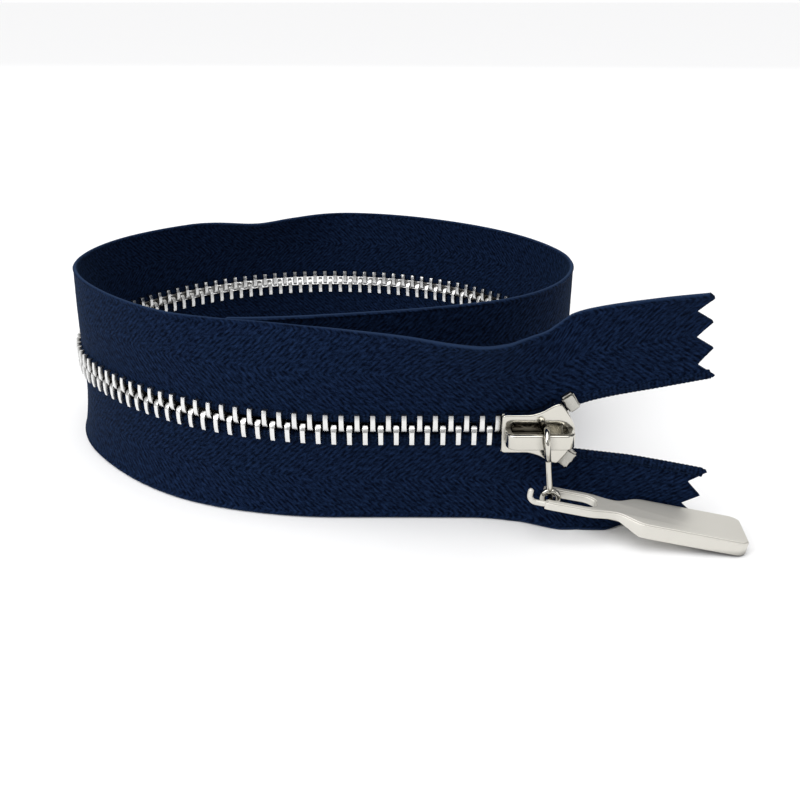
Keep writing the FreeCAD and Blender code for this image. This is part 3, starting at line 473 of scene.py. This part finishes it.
def add_tapes():
    """The three pieces of tape with their cords, in place of the CAD strips."""
    lower = {
        "plan": coil_plan, "side": -1, "edge": LOWER_EDGE, "inner_flare": LOWER_INNER_FLARE,
        "flare": LOWER_FLARE, "lag": LOWER_LAG,
    }
    upper = {
        "plan": upper_plan, "side": 1, "edge": UPPER_EDGE, "inner_flare": UPPER_INNER_FLARE,
        "flare": UPPER_FLARE, "lag": UPPER_LAG,
    }
    rows = [
        ("tape_lower", "cord_lower", lower, TAIL_END, HIDDEN_END, ["lower_tape", "lower_cord"]),
        ("tape_upper", "cord_upper", upper, SEAM_RUN, HIDDEN_END, ["upper_tape", "upper_cord"]),
        (
            "tape_upper_tail", "cord_upper_tail", upper, -UPPER_REACH, SEAM_RUN,
            ["upper_tail_tape", "upper_tail_cord"],
        ),
    ]
    for tape_name, cord_name, shape, start, end, nodes in rows:
        pinked = [run for run in (start, end) if run != SEAM_RUN]
        tape = tape_piece(tape_name, shape, start, end, pinked)
        cord_start = start + (start in pinked) * CORD_RADIUS
        cord_end = end - (end in pinked) * CORD_RADIUS
        cord = cord_piece(cord_name, shape, cord_start, cord_end)
        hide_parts(nodes[0])
        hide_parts(nodes[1])
        for piece in (tape, cord):
            if start == -UPPER_REACH:
                bend_at_pivot(piece)
            else:
                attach(piece, "tapes")


def bend_at_pivot(piece):
    """Bakes the piece's placement into its mesh; the upper tail is not bent where it swings away from
    the coil.
    """
    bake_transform(piece)


# Chain -------------------------------------------------------------------------------


def tooth_mesh():
    """One tooth: two legs that grip the cord, and a rounded head in the chain."""
    outline = [
        (1.0, 0.05), (1.1, 0.3), (1.1, 1.3), (0.98, 2.07), (0.32, 2.07), (0.3, 0.9),
        (-0.3, 0.9), (-0.32, 2.07), (-0.98, 2.07), (-1.1, 1.3), (-1.1, 0.3), (-1.0, 0.05),
        (-0.85, -0.2), (-0.5, -0.52), (0.5, -0.52), (0.85, -0.2),
    ]
    shell = bmesh.new()
    ends = []
    for sign in (-1, 1):
        loop = []
        for depth, height in outline:
            half = np.interp(height, HEAD_HEIGHTS, HEAD_HALVES)
            loop.append(shell.verts.new((sign * half, depth, height)))
        ends.append(loop)
    shell.faces.new(ends[1])
    shell.faces.new(ends[0][::-1])
    count = len(outline)
    for i in range(count):
        after = (i + 1) % count
        shell.faces.new((ends[0][i], ends[0][after], ends[1][after], ends[1][i]))
    bmesh.ops.recalc_face_normals(shell, faces=shell.faces)
    bmesh.ops.bevel(
        shell, geom=shell.edges[:], offset=TOOTH_ROUNDING, segments=2, profile=0.6, affect="EDGES",
        clamp_overlap=True,
    )
    bmesh.ops.triangulate(shell, faces=[face for face in shell.faces if len(face.verts) > 4])
    shell.verts.index_update()
    points = np.array([vert.co[:] for vert in shell.verts])
    faces = [[vert.index for vert in face.verts] for face in shell.faces]
    shell.free()
    return points, faces


def row_matrix(run, side):
    """Where a tooth sits: its local X runs along the row and Z points out of the chain."""
    flip = Matrix.Rotation(math.pi if side < 0 else 0.0, 4, "X")
    if run > SPLIT_START:
        x, y, heading = (float(value) for value in coil_plan(np.array(run)))
        return Matrix.Translation((x, y, CHAIN_Z)) @ Matrix.Rotation(heading, 4, "Z") @ flip
    past = SPLIT_START - run
    bend = SPLIT_RADIUS * math.radians(SPLIT_TURN)
    slope = math.radians(SPLIT_TURN) * min(1.0, past / bend)
    straight = max(0.0, past - bend)
    along = SPLIT_RADIUS * math.sin(slope) + straight * math.cos(slope) - SPLIT_START
    rise = SPLIT_RADIUS * (1 - math.cos(slope)) + straight * math.sin(slope)
    place = Matrix.Translation((SLIDER_X + along, FRONT_Y, CHAIN_Z + side * rise))
    return place @ Matrix.Rotation(-side * slope, 4, "Y") @ flip


def stop_run():
    """Run of the top stops' middles."""
    return SPLIT_START - SPLIT_RADIUS * math.radians(SPLIT_TURN) - SPLIT_FLANK


def add_teeth():
    """The four groups of teeth."""
    points, faces = tooth_mesh()
    first = stop_run() + STOP_WIDTH / 2 + TOOTH_PITCH / 2
    last = stop_run() + CHAIN_LENGTH - TOOTH_PITCH
    for side, word, lag in ((-1, "lower", 0.0), (1, "upper", TOOTH_PITCH / 2)):
        runs = np.arange(first + lag, last + TOOTH_PITCH / 4, TOOTH_PITCH)
        parting = runs < PIVOT_RUN - TOOTH_CLEARANCE
        opening_body = "tapes" if side < 0 else "upper_tail"
        add_tooth_group(f"teeth_{word}", points, faces, runs[~parting], side, f"{word}_teeth", "tapes")
        node = f"{word}_opening_teeth"
        add_tooth_group(f"teeth_{word}_opening", points, faces, runs[parting], side, node, opening_body)


def add_tooth_group(name, points, faces, runs, side, node, body):
    """One piece with a tooth at each run."""
    all_points = []
    all_faces = []
    for run in runs:
        matrix = np.array(row_matrix(run, side))
        start = len(all_points) * len(points)
        all_points.append(points @ matrix[:3, :3].T + matrix[:3, 3])
        all_faces += [[index + start for index in face] for face in faces]
    piece = new_piece(name, np.concatenate(all_points), all_faces, TOOTH_METAL)
    shade_by_angle(piece, TOOTH_CREASE)
    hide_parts(node)
    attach(piece, body)


def shade_by_angle(piece, degrees):
    """Smooth faces with crisp edges where they meet at more than an angle."""
    piece.data.set_sharp_from_angle(angle=math.radians(degrees))


# Materials ---------------------------------------------------------------------------


def new_material(name):
    """An empty node material and its surface shader."""
    material = bpy.data.materials.new(name)
    material.use_nodes = True
    return material, material.node_tree, material.node_tree.nodes["Principled BSDF"]


def add_node(tree, kind, **values):
    """A shader node with some of its inputs set."""
    node = tree.nodes.new(kind)
    for key, value in values.items():
        node.inputs[key.replace("_", " ")].default_value = value
    return node


def fabric(name, colour, thread_colour, rib_scale):
    """Dyed polyester yarn: fine slanting threads with a mottled surface."""
    material, tree, shader = new_material(name)
    shader.inputs["Roughness"].default_value = 0.82
    shader.inputs["Specular IOR Level"].default_value = 0.03
    shader.inputs["Sheen Weight"].default_value = 0.03
    shader.inputs["Sheen Roughness"].default_value = 0.45
    shader.inputs["Sheen Tint"].default_value = (0.25, 0.55, 1.0, 1.0)
    place = tree.nodes.new("ShaderNodeUVMap")
    place.uv_map = "weave"
    wave = add_node(tree, "ShaderNodeTexWave", Scale=rib_scale, Distortion=3.0, Detail=3.0)
    wave.inputs["Detail Scale"].default_value = 2.5
    speckle = add_node(tree, "ShaderNodeTexNoise", Scale=1.7, Detail=3.0, Roughness=0.75)
    for texture in (wave, speckle):
        tree.links.new(place.outputs["UV"], texture.inputs["Vector"])
    height = added(tree, scaled(tree, wave.outputs["Fac"], THREAD_SHARE), speckle.outputs["Fac"])
    spread = tree.nodes.new("ShaderNodeMapRange")
    spread.inputs["From Min"].default_value = 0.43
    spread.inputs["From Max"].default_value = 0.8
    tree.links.new(height, spread.inputs["Value"])
    shade = two_tone(tree, colour, thread_colour, spread.outputs["Result"])
    # Painted highlight: a paler colour along the tape's outer edge, where it catches the light.
    edge = painted_edge_highlight_factor(tree, place.outputs["UV"])
    shade = two_tone(tree, shade, PAINTED_EDGE_HIGHLIGHT_COLOUR, edge)
    tree.links.new(shade, shader.inputs["Base Color"])
    bump = add_node(tree, "ShaderNodeBump", Strength=0.55, Distance=0.00012)
    tree.links.new(height, bump.inputs["Height"])
    tree.links.new(bump.outputs["Normal"], shader.inputs["Normal"])
    return material


def painted_edge_highlight_factor(tree, place):
    """How far a point has come into the painted highlight along the tape's outer edge."""
    axes = tree.nodes.new("ShaderNodeSeparateXYZ")
    tree.links.new(place, axes.inputs["Vector"])
    edge = tree.nodes.new("ShaderNodeMapRange")
    edge.inputs["From Min"].default_value = TAPE_WIDTH - PAINTED_EDGE_HIGHLIGHT_BAND
    edge.inputs["From Max"].default_value = TAPE_WIDTH
    tree.links.new(axes.outputs["Y"], edge.inputs["Value"])
    return edge.outputs["Result"]


def two_tone(tree, first, second, factor):
    """Two colours mixed by a factor; the first may be another node's output."""
    mix = tree.nodes.new("ShaderNodeMix")
    mix.data_type = "RGBA"
    if isinstance(first, bpy.types.NodeSocket):
        tree.links.new(first, mix.inputs["A"])
    else:
        mix.inputs["A"].default_value = first
    mix.inputs["B"].default_value = second
    tree.links.new(factor, mix.inputs["Factor"])
    return mix.outputs["Result"]


def added(tree, first, second):
    """The sum of two factors."""
    node = tree.nodes.new("ShaderNodeMath")
    node.operation = "ADD"
    tree.links.new(first, node.inputs[0])
    tree.links.new(second, node.inputs[1])
    return node.outputs["Value"]


def scaled(tree, factor, share):
    """A factor at a share of its strength."""
    node = tree.nodes.new("ShaderNodeMath")
    node.operation = "MULTIPLY"
    node.inputs[1].default_value = share
    tree.links.new(factor, node.inputs[0])
    return node.outputs["Value"]


def metal(name, colour, roughness, wear, grain, metallic=1.0):
    """Plated metal with painted shade darkening its crevices, whose polish varies a little."""
    material, tree, shader = new_material(name)
    shader.inputs["Metallic"].default_value = metallic
    # Painted shade: the base colour darkens towards a near-black wherever another face is close.
    crevice_shade_probe = add_node(tree, "ShaderNodeAmbientOcclusion", Distance=PAINTED_SHADE_REACH)
    depth = tree.nodes.new("ShaderNodeMapRange")
    depth.inputs["From Min"].default_value = 0.25
    depth.inputs["From Max"].default_value = 0.9
    tree.links.new(crevice_shade_probe.outputs["AO"], depth.inputs["Value"])
    shade = two_tone(tree, PAINTED_SHADE_COLOUR, colour, depth.outputs["Result"])
    tree.links.new(shade, shader.inputs["Base Color"])
    place = tree.nodes.new("ShaderNodeTexCoord")
    pattern = add_node(tree, "ShaderNodeTexNoise", Scale=grain, Detail=5.0, Roughness=0.6)
    tree.links.new(place.outputs["Object"], pattern.inputs["Vector"])
    polish = tree.nodes.new("ShaderNodeMapRange")
    polish.inputs["To Min"].default_value = max(SMOOTHEST, roughness - wear)
    polish.inputs["To Max"].default_value = roughness + wear
    tree.links.new(pattern.outputs["Fac"], polish.inputs["Value"])
    tree.links.new(polish.outputs["Result"], shader.inputs["Roughness"])
    bump = add_node(tree, "ShaderNodeBump", Strength=0.12, Distance=0.00004)
    tree.links.new(pattern.outputs["Fac"], bump.inputs["Height"])
    tree.links.new(bump.outputs["Normal"], shader.inputs["Normal"])
    return material


def paint_node(node_name, material):
    """Gives a carried-over CAD node its final material."""
    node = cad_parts[node_name]
    node.data.materials.clear()
    node.data.materials.append(material)
    node.data.polygons.foreach_set("use_smooth", [True] * len(node.data.polygons))
    shade_by_angle(node, CAD_CREASE)


# Metal parts -------------------------------------------------------------------------


def rounded(corners, radius, steps=5):
    """The same closed outline with each corner eased by a short curve."""
    longest_share = 0.45
    points = np.array(corners, float)
    eased = []
    for before, corner, after in zip(np.roll(points, 1, 0), points, np.roll(points, -1, 0)):
        legs = []
        for other in (before, after):
            length = np.linalg.norm(other - corner)
            legs.append(corner + (other - corner) * min(radius, longest_share * length) / length)
        for t in np.linspace(0, 1, steps):
            eased.append((1 - t) ** 2 * legs[0] + 2 * t * (1 - t) * corner + t * t * legs[1])
    return eased


def mirrored(corners):
    """The same half outline below the centre line, in the opposite order."""
    return [(x, -y) for x, y in reversed(corners)]


def plate(name, outlines, low, high, bevel, material, inset=0.0):
    """A flat plate between two heights, inside its outline by inset; later outlines are holes."""
    curve = bpy.data.curves.new(name, "CURVE")
    curve.dimensions = "2D"
    curve.fill_mode = "BOTH"
    curve.extrude = (high - low) / 2 - bevel
    curve.bevel_depth = bevel
    curve.bevel_resolution = 3
    curve.offset = -bevel - inset
    for outline in outlines:
        spline = curve.splines.new("POLY")
        spline.points.add(len(outline) - 1)
        for point, (x, y) in zip(spline.points, outline):
            point.co = (x, y, 0.0, 1.0)
        spline.use_cyclic_u = True
    holder = bpy.data.objects.new(name, curve)
    bpy.context.scene.collection.objects.link(holder)
    graph = bpy.context.evaluated_depsgraph_get()
    mesh = bpy.data.meshes.new_from_object(holder.evaluated_get(graph))
    bpy.data.objects.remove(holder)
    mesh.transform(Matrix.Translation((0, 0, (low + high) / 2)))
    return finished_metal(name, mesh, material)


def finished_metal(name, mesh, material):
    """A metal piece from a mesh in millimetres: joined points, smooth faces, one finish."""
    shell = bmesh.new()
    shell.from_mesh(mesh)
    bmesh.ops.remove_doubles(shell, verts=shell.verts, dist=0.001)
    bmesh.ops.recalc_face_normals(shell, faces=shell.faces)
    shell.to_mesh(mesh)
    shell.free()
    mesh.materials.clear()
    mesh.materials.append(material)
    mesh.polygons.foreach_set("use_smooth", [True] * len(mesh.polygons))
    piece = bpy.data.objects.new(name, mesh)
    bpy.context.scene.collection.objects.link(piece)
    shade_by_angle(piece, METAL_CREASE)
    return piece


def tube(name, points, radius, material, closed=False):
    """A round wire through points, with domed ends."""
    line = np.array(points, float)
    if not closed:
        line, scale = domed(line, radius)
    else:
        scale = np.ones(len(line))
    along = np.roll(line, -1, 0) - np.roll(line, 1, 0) if closed else np.gradient(line, axis=0)
    along /= np.linalg.norm(along, axis=1, keepdims=True)
    across = np.cross(along, plane_normal(line))
    across /= np.linalg.norm(across, axis=1, keepdims=True)
    other = np.cross(along, across)
    ring = round_rings(around(WIRE_SIDES), across, other)
    rings = line[:, None] + ring * (radius * scale)[:, None, None]
    if closed:
        rings = np.concatenate([rings, rings[:1]])
    faces = grid_faces(len(rings), WIRE_SIDES, closed=True).tolist()
    mesh = bpy.data.meshes.new(name)
    mesh.from_pydata(rings.reshape(-1, 3).tolist(), [], faces)
    return finished_metal(name, mesh, material)


def plane_normal(line):
    """The direction square to the plane that a bent wire lies in."""
    middle = line - line.mean(0)
    return np.linalg.svd(middle)[2][2]


def domed(line, radius):
    """Adds points at both ends of a wire and the share of its radius at each point."""
    tip = 0.02
    turns = np.radians([90, 70, 45, 20])
    start = line[0] - line[1]
    end = line[-1] - line[-2]
    start = start / np.linalg.norm(start) * radius
    end = end / np.linalg.norm(end) * radius
    head = [line[0] + start * math.sin(turn) for turn in turns]
    tail = [line[-1] + end * math.sin(turn) for turn in turns[::-1]]
    scale = [max(tip, math.cos(turn)) for turn in turns]
    return np.concatenate([head, line, tail]), np.array(scale + [1.0] * len(line) + scale[::-1])


def merge(pieces):
    """Joins pieces of one casting into the first of them."""
    bpy.ops.object.select_all(action="DESELECT")
    for piece in pieces:
        piece.select_set(True)
    bpy.context.view_layer.objects.active = pieces[0]
    bpy.ops.object.join()
    return pieces[0]


def settle(piece, matrix, node, body):
    """Puts a piece drawn in millimetres in its place, for one CAD node."""
    piece.data.transform(Matrix.Scale(MM, 4) @ matrix)
    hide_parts(node)
    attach(piece, body)


def slider_matrix():
    """The slider's frame."""
    return Matrix.Translation((SLIDER_X, FRONT_Y, CHAIN_Z))


def facing():
    """Turns a plate drawn flat so that its face looks at the viewer and its Y is up."""
    return Matrix.Rotation(math.radians(90), 4, "X")


def slider_casting():
    """Two blades with inturned flanges, joined by the divider."""
    outline = rounded(BLADE_HALF + mirrored(BLADE_HALF), BLADE_CORNER)
    middle, half = PAWL_HOLE
    left, right = middle - half, middle + half
    hole = rounded([(left, -half), (right, -half), (right, half), (left, half)], HOLE_CORNER)
    low = BLADE_MIDDLE - BLADE_THICKNESS / 2
    high = BLADE_MIDDLE + BLADE_THICKNESS / 2
    reach = low + DIVIDER_OVERLAP
    root = low + FLANGE_ROOT
    parts = [plate("slider_casting", [outline, hole], low, high, BLADE_ROUNDING, NICKEL)]
    parts.append(plate("rear_blade", [outline], -high, -low, BLADE_ROUNDING, NICKEL))
    parts.append(plate("divider", [DIVIDER], -reach, reach, DIVIDER_ROUNDING, NICKEL))
    edge = BLADE_HALF[:4]
    for side in (-1, 1):
        strip = [(x, side * y) for x, y in edge]
        strip += [(x, side * (y - FLANGE_WIDTH)) for x, y in reversed(edge)]
        parts.append(plate("flange", [strip], FLANGE_INNER, root, FLANGE_ROUNDING, NICKEL))
        parts.append(plate("flange", [strip], -root, -FLANGE_INNER, FLANGE_ROUNDING, NICKEL))
    settle(merge(parts), slider_matrix() @ facing(), "slider_body", "slider")


def crown():
    """The strap over the front blade that the link hangs from."""
    foot, top, wall = -CROWN_FOOT, -CROWN_TOP, CROWN_WALL
    half = CROWN_HALF_WIDTH
    outer = arch(CROWN_BACK, CROWN_FRONT, foot, top, CROWN_SHOULDER)
    inner = arch(CROWN_BACK + wall, CROWN_FRONT - wall, foot, top + wall, CROWN_INNER_SHOULDER)
    strap = plate("crown_strap", [outer + inner[::-1]], -half, half, CROWN_ROUNDING, NICKEL)
    settle(strap, slider_matrix(), "slider_crown", "slider")


def arch(left, right, foot, top, radius):
    """Points up one leg of an arch, over its rounded shoulders and down the other."""
    points = [(left, foot)]
    for centre, start in ((left + radius, 180), (right - radius, 270)):
        for step in range(ARC_STEPS + 1):
            angle = math.radians(start + 90 * step / ARC_STEPS)
            points.append((centre + radius * math.cos(angle), top + radius + radius * math.sin(angle)))
    points.append((right, foot))
    return points


def link_matrix():
    """The link's frame: on the crown, turned and leaning as it hangs."""
    place = slider_matrix() @ Matrix.Translation((LINK_X, -LINK_DEPTH, 0))
    turn = Matrix.Rotation(math.radians(-PULL_YAW), 4, "Z")
    return place @ turn @ Matrix.Rotation(math.radians(-LINK_LEAN), 4, "Y")


def link():
    """A ring round the crown, a stem, and the eye that the pull hangs from."""
    ring = []
    for angle in around(RING_STEPS):
        drop = 1.0 + RING_DRAW * max(0.0, -math.sin(angle)) ** RING_TAPER
        ring.append((0, LINK_RING * math.cos(angle), LINK_RING * math.sin(angle) * drop))
    eye = []
    for angle in around(EYE_STEPS):
        eye.append((EYE_RING * math.cos(angle), 0, EYE_RING * math.sin(angle) - LINK_LENGTH))
    heights = np.linspace(-LINK_RING * STEM_START, EYE_RING - LINK_LENGTH, ARC_STEPS + 1)
    stem = [(0, 0, height) for height in heights]
    parts = [
        tube("link_wire", ring, LINK_WIRE, NICKEL, closed=True),
        tube("link_eye", eye, EYE_WIRE, NICKEL, closed=True),
        tube("link_stem", stem, STEM_WIRE, NICKEL),
    ]
    settle(merge(parts), link_matrix(), "pull_link", "link")


def pull_matrix():
    """The pull's frame, at the link's eye."""
    eye = Matrix.Translation(link_matrix() @ Vector((0, 0, -LINK_LENGTH)))
    yaw = Matrix.Rotation(math.radians(-PULL_YAW), 4, "Z")
    return eye @ yaw @ Matrix.Rotation(math.radians(PULL_PITCH), 4, "Y")


def pull():
    """The pull: a fork round the link's eye, a neck and a flat bar, and its hook."""
    outline = []
    for corners in (PULL_HALF, mirrored(PULL_HALF)):
        outline += rounded(corners, PULL_CORNER)[OPEN_PART]
    for corners in (mirrored(SLOT_HALF)[::-1], SLOT_HALF[::-1]):
        outline += rounded(corners, SLOT_CORNER)[OPEN_PART]
    half = FORK_HALF_THICKNESS
    body = plate("pull_bar", [outline], -half, half - PULL_STEP, PULL_ROUNDING, SATIN_NICKEL)
    face = plate("pull_face", [outline], 0.0, half, FACE_ROUNDING, SATIN_NICKEL, inset=PULL_STEP)
    thicken(body)
    settle(merge([body, face, hook()]), pull_matrix(), "pull_tab", "pull")


def thicken(tab):
    """Lowers the bar's underside, so that the pull is thicker past its neck."""
    for vertex in tab.data.vertices:
        past = min(1.0, max(0.0, (vertex.co.x - NECK_END) / NECK_SLOPE))
        if vertex.co.z < 0:
            vertex.co.z += past * (BAR_UNDERSIDE + FORK_HALF_THICKNESS)


def hook():
    """The near rail's end, curled up into a small open hook."""
    lead = np.arange(HOOK_START, HOOK_BEND, -HOOK_STEP)
    points = [(x, HOOK_RAIL, 0) for x in lead]
    for step in range(ARC_STEPS + 1):
        angle = math.radians(90 * step / ARC_STEPS)
        rise = HOOK_RADIUS * (1 - math.cos(angle))
        points.append((HOOK_BEND - HOOK_RADIUS * math.sin(angle), HOOK_RAIL, rise))
    for share in (0.5, 1.0):
        rise = HOOK_RADIUS + share * (HOOK_RISE - HOOK_RADIUS)
        points.append((HOOK_BEND - HOOK_RADIUS, HOOK_RAIL, rise))
    return tube("hook", points, HOOK_WIRE, SATIN_NICKEL)


def crimped_block(name, node, matrix, body, sizes, middle):
    """A metal block crimped over the tape's edge, dented by the tool."""
    shell = bmesh.new()
    bmesh.ops.create_cube(shell, size=2.0)
    bmesh.ops.bevel(
        shell, geom=shell.edges[:], offset=STOP_ROUNDING, segments=2, affect="EDGES"
    )
    bmesh.ops.subdivide_edges(shell, edges=shell.edges[:], cuts=3, use_grid_fill=True)
    for vertex in shell.verts:
        place = Vector(a * b for a, b in zip(vertex.co, sizes))
        place += noise.noise_vector(place * DENT_SCALE) * DENT_DEPTH
        vertex.co = place + Vector((0, 0, middle))
    mesh = bpy.data.meshes.new(name)
    shell.to_mesh(mesh)
    shell.free()
    block = finished_metal(name, mesh, STOP_METAL)
    settle(block, matrix, node, body)


def add_stops():
    """Two top stops beside the slider and the bottom stop at the chain's closed end."""
    for side, word, body in ((-1, "lower", "tapes"), (1, "upper", "upper_tail")):
        matrix = row_matrix(stop_run(), side)
        name = f"stop_top_{word}"
        crimped_block(name, f"{word}_top_stop", matrix, body, STOP_HALF_SIZES, STOP_MIDDLE)
    matrix = row_matrix(stop_run() + CHAIN_LENGTH, 1)
    crimped_block("stop_bottom", "bottom_stop", matrix, "tapes", BOTTOM_STOP_HALF_SIZES, 0.0)


def add_metal_parts():
    """Slider, link, pull and stops; the pin and the lock keep their CAD shape."""
    slider_casting()
    crown()
    link()
    pull()
    add_stops()
    paint_node("pull_pin", NICKEL)
    for name in ("lock_pawl", "lock_spring"):
        paint_node(name, DARK_STEEL)


# Studio ------------------------------------------------------------------------------


def add_floor():
    """A white floor that runs to the horizon."""
    half = 400.0
    points = [(-half, -half, 0), (half, -half, 0), (half, half, 0), (-half, half, 0)]
    material, _, shader = new_material("backdrop_paper")
    shader.inputs["Base Color"].default_value = (0.93, 0.93, 0.935, 1.0)
    shader.inputs["Roughness"].default_value = 0.9
    shader.inputs["Specular IOR Level"].default_value = 0.1
    floor = new_piece("backdrop", np.array(points) / MM, [(0, 1, 2, 3)], material)


def add_light(name, place, target, size, power, colour=(1.0, 1.0, 1.0)):
    """A square soft box aimed at a point; places in metres."""
    light = bpy.data.lights.new(name, "AREA")
    light.shape = "RECTANGLE"
    light.size, light.size_y = size
    light.energy = power
    light.color = colour
    lamp = bpy.data.objects.new(name, light)
    lamp.location = place
    aim = Vector(target) - Vector(place)
    lamp.rotation_euler = aim.to_track_quat("-Z", "Y").to_euler()
    bpy.context.scene.collection.objects.link(lamp)


def add_sun(power, spread):
    """Broad even light from nearly overhead, spread over an angle in degrees."""
    light = bpy.data.lights.new("sky_light", "SUN")
    light.energy = power
    light.angle = math.radians(spread)
    lamp = bpy.data.objects.new("sky_light", light)
    lamp.rotation_euler = (math.radians(12), math.radians(-10), 0)
    bpy.context.scene.collection.objects.link(lamp)


def add_studio():
    """Even light from above, soft boxes beside the object and a pale surrounding."""
    middle = (0.0, 0.0, 0.01)
    add_sun(2.3, spread=70)
    add_light("key_box", (-0.45, -0.3, 0.3), middle, (0.3, 0.3), 1.2)
    add_light("fill_box", (0.5, -0.35, 0.2), middle, (0.2, 0.3), 0.25)
    add_light("back_box", (0.05, 0.7, 0.42), middle, (1.1, 0.5), 1.3)
    add_world(0.33)


def add_world(strength):
    """White surroundings that light the object less than they show behind it."""
    world = bpy.data.worlds.new("studio")
    world.use_nodes = True
    tree = world.node_tree
    shown = add_node(tree, "ShaderNodeBackground", Color=(1.0, 1.0, 1.0, 1.0), Strength=1.0)
    lighting = tree.nodes["Background"]
    lighting.inputs["Color"].default_value = (1.0, 1.0, 1.0, 1.0)
    lighting.inputs["Strength"].default_value = strength
    seen = tree.nodes.new("ShaderNodeLightPath")
    mix = tree.nodes.new("ShaderNodeMixShader")
    tree.links.new(seen.outputs["Is Camera Ray"], mix.inputs["Fac"])
    tree.links.new(lighting.outputs["Background"], mix.inputs[1])
    tree.links.new(shown.outputs["Background"], mix.inputs[2])
    tree.links.new(mix.outputs["Shader"], tree.nodes["World Output"].inputs["Surface"])
    bpy.context.scene.world = world


def add_camera():
    """The camera in front of the zipper, looking down at it."""
    camera = bpy.data.cameras.new("camera")
    camera.lens = 40.5
    camera.sensor_width = 36.0
    camera.clip_start = 0.01
    holder = bpy.data.objects.new("camera", camera)
    holder.location = Vector(CAMERA_PLACE) * MM
    holder.rotation_euler = (math.radians(90 - CAMERA_TILT), 0.0, 0.0)
    bpy.context.scene.collection.objects.link(holder)
    scene = bpy.context.scene
    scene.camera = holder
    scene.render.resolution_x = 800
    scene.render.resolution_y = 800
    scene.view_settings.view_transform = "Standard"


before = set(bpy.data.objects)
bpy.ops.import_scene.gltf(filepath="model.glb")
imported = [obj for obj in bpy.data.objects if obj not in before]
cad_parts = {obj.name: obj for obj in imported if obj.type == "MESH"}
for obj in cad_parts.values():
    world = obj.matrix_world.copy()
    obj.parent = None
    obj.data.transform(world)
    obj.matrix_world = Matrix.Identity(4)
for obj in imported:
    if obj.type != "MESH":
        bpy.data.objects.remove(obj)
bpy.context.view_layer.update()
NAVY_TWILL = fabric(
    "navy_twill", (0.0003, 0.0018, 0.008, 1.0), (0.0085, 0.021, 0.062, 1.0), rib_scale=0.42
)
NAVY_CORD = fabric(
    "navy_cord", (0.0003, 0.0016, 0.007, 1.0), (0.0085, 0.02, 0.055, 1.0), rib_scale=0.6
)
TOOTH_METAL = metal(
    "nickel_silver_teeth", (0.8, 0.8, 0.79, 1.0), roughness=0.28, wear=0.08, grain=900.0
)
STOP_METAL = metal(
    "crimped_metal", (0.5, 0.49, 0.45, 1.0), roughness=0.3, wear=0.14, grain=1600.0
)
NICKEL = metal(
    "polished_nickel", (0.64, 0.62, 0.56, 1.0), roughness=0.12, wear=0.05, grain=500.0
)
SATIN_NICKEL = metal(
    "satin_nickel", (0.71, 0.69, 0.635, 1.0), roughness=0.5, wear=0.05, grain=500.0, metallic=0.55
)
DARK_STEEL = metal(
    "lock_steel", (0.5, 0.47, 0.4, 1.0), roughness=0.3, wear=0.1, grain=900.0
)

add_tapes()
add_teeth()
add_metal_parts()
add_floor()
add_studio()
add_camera()
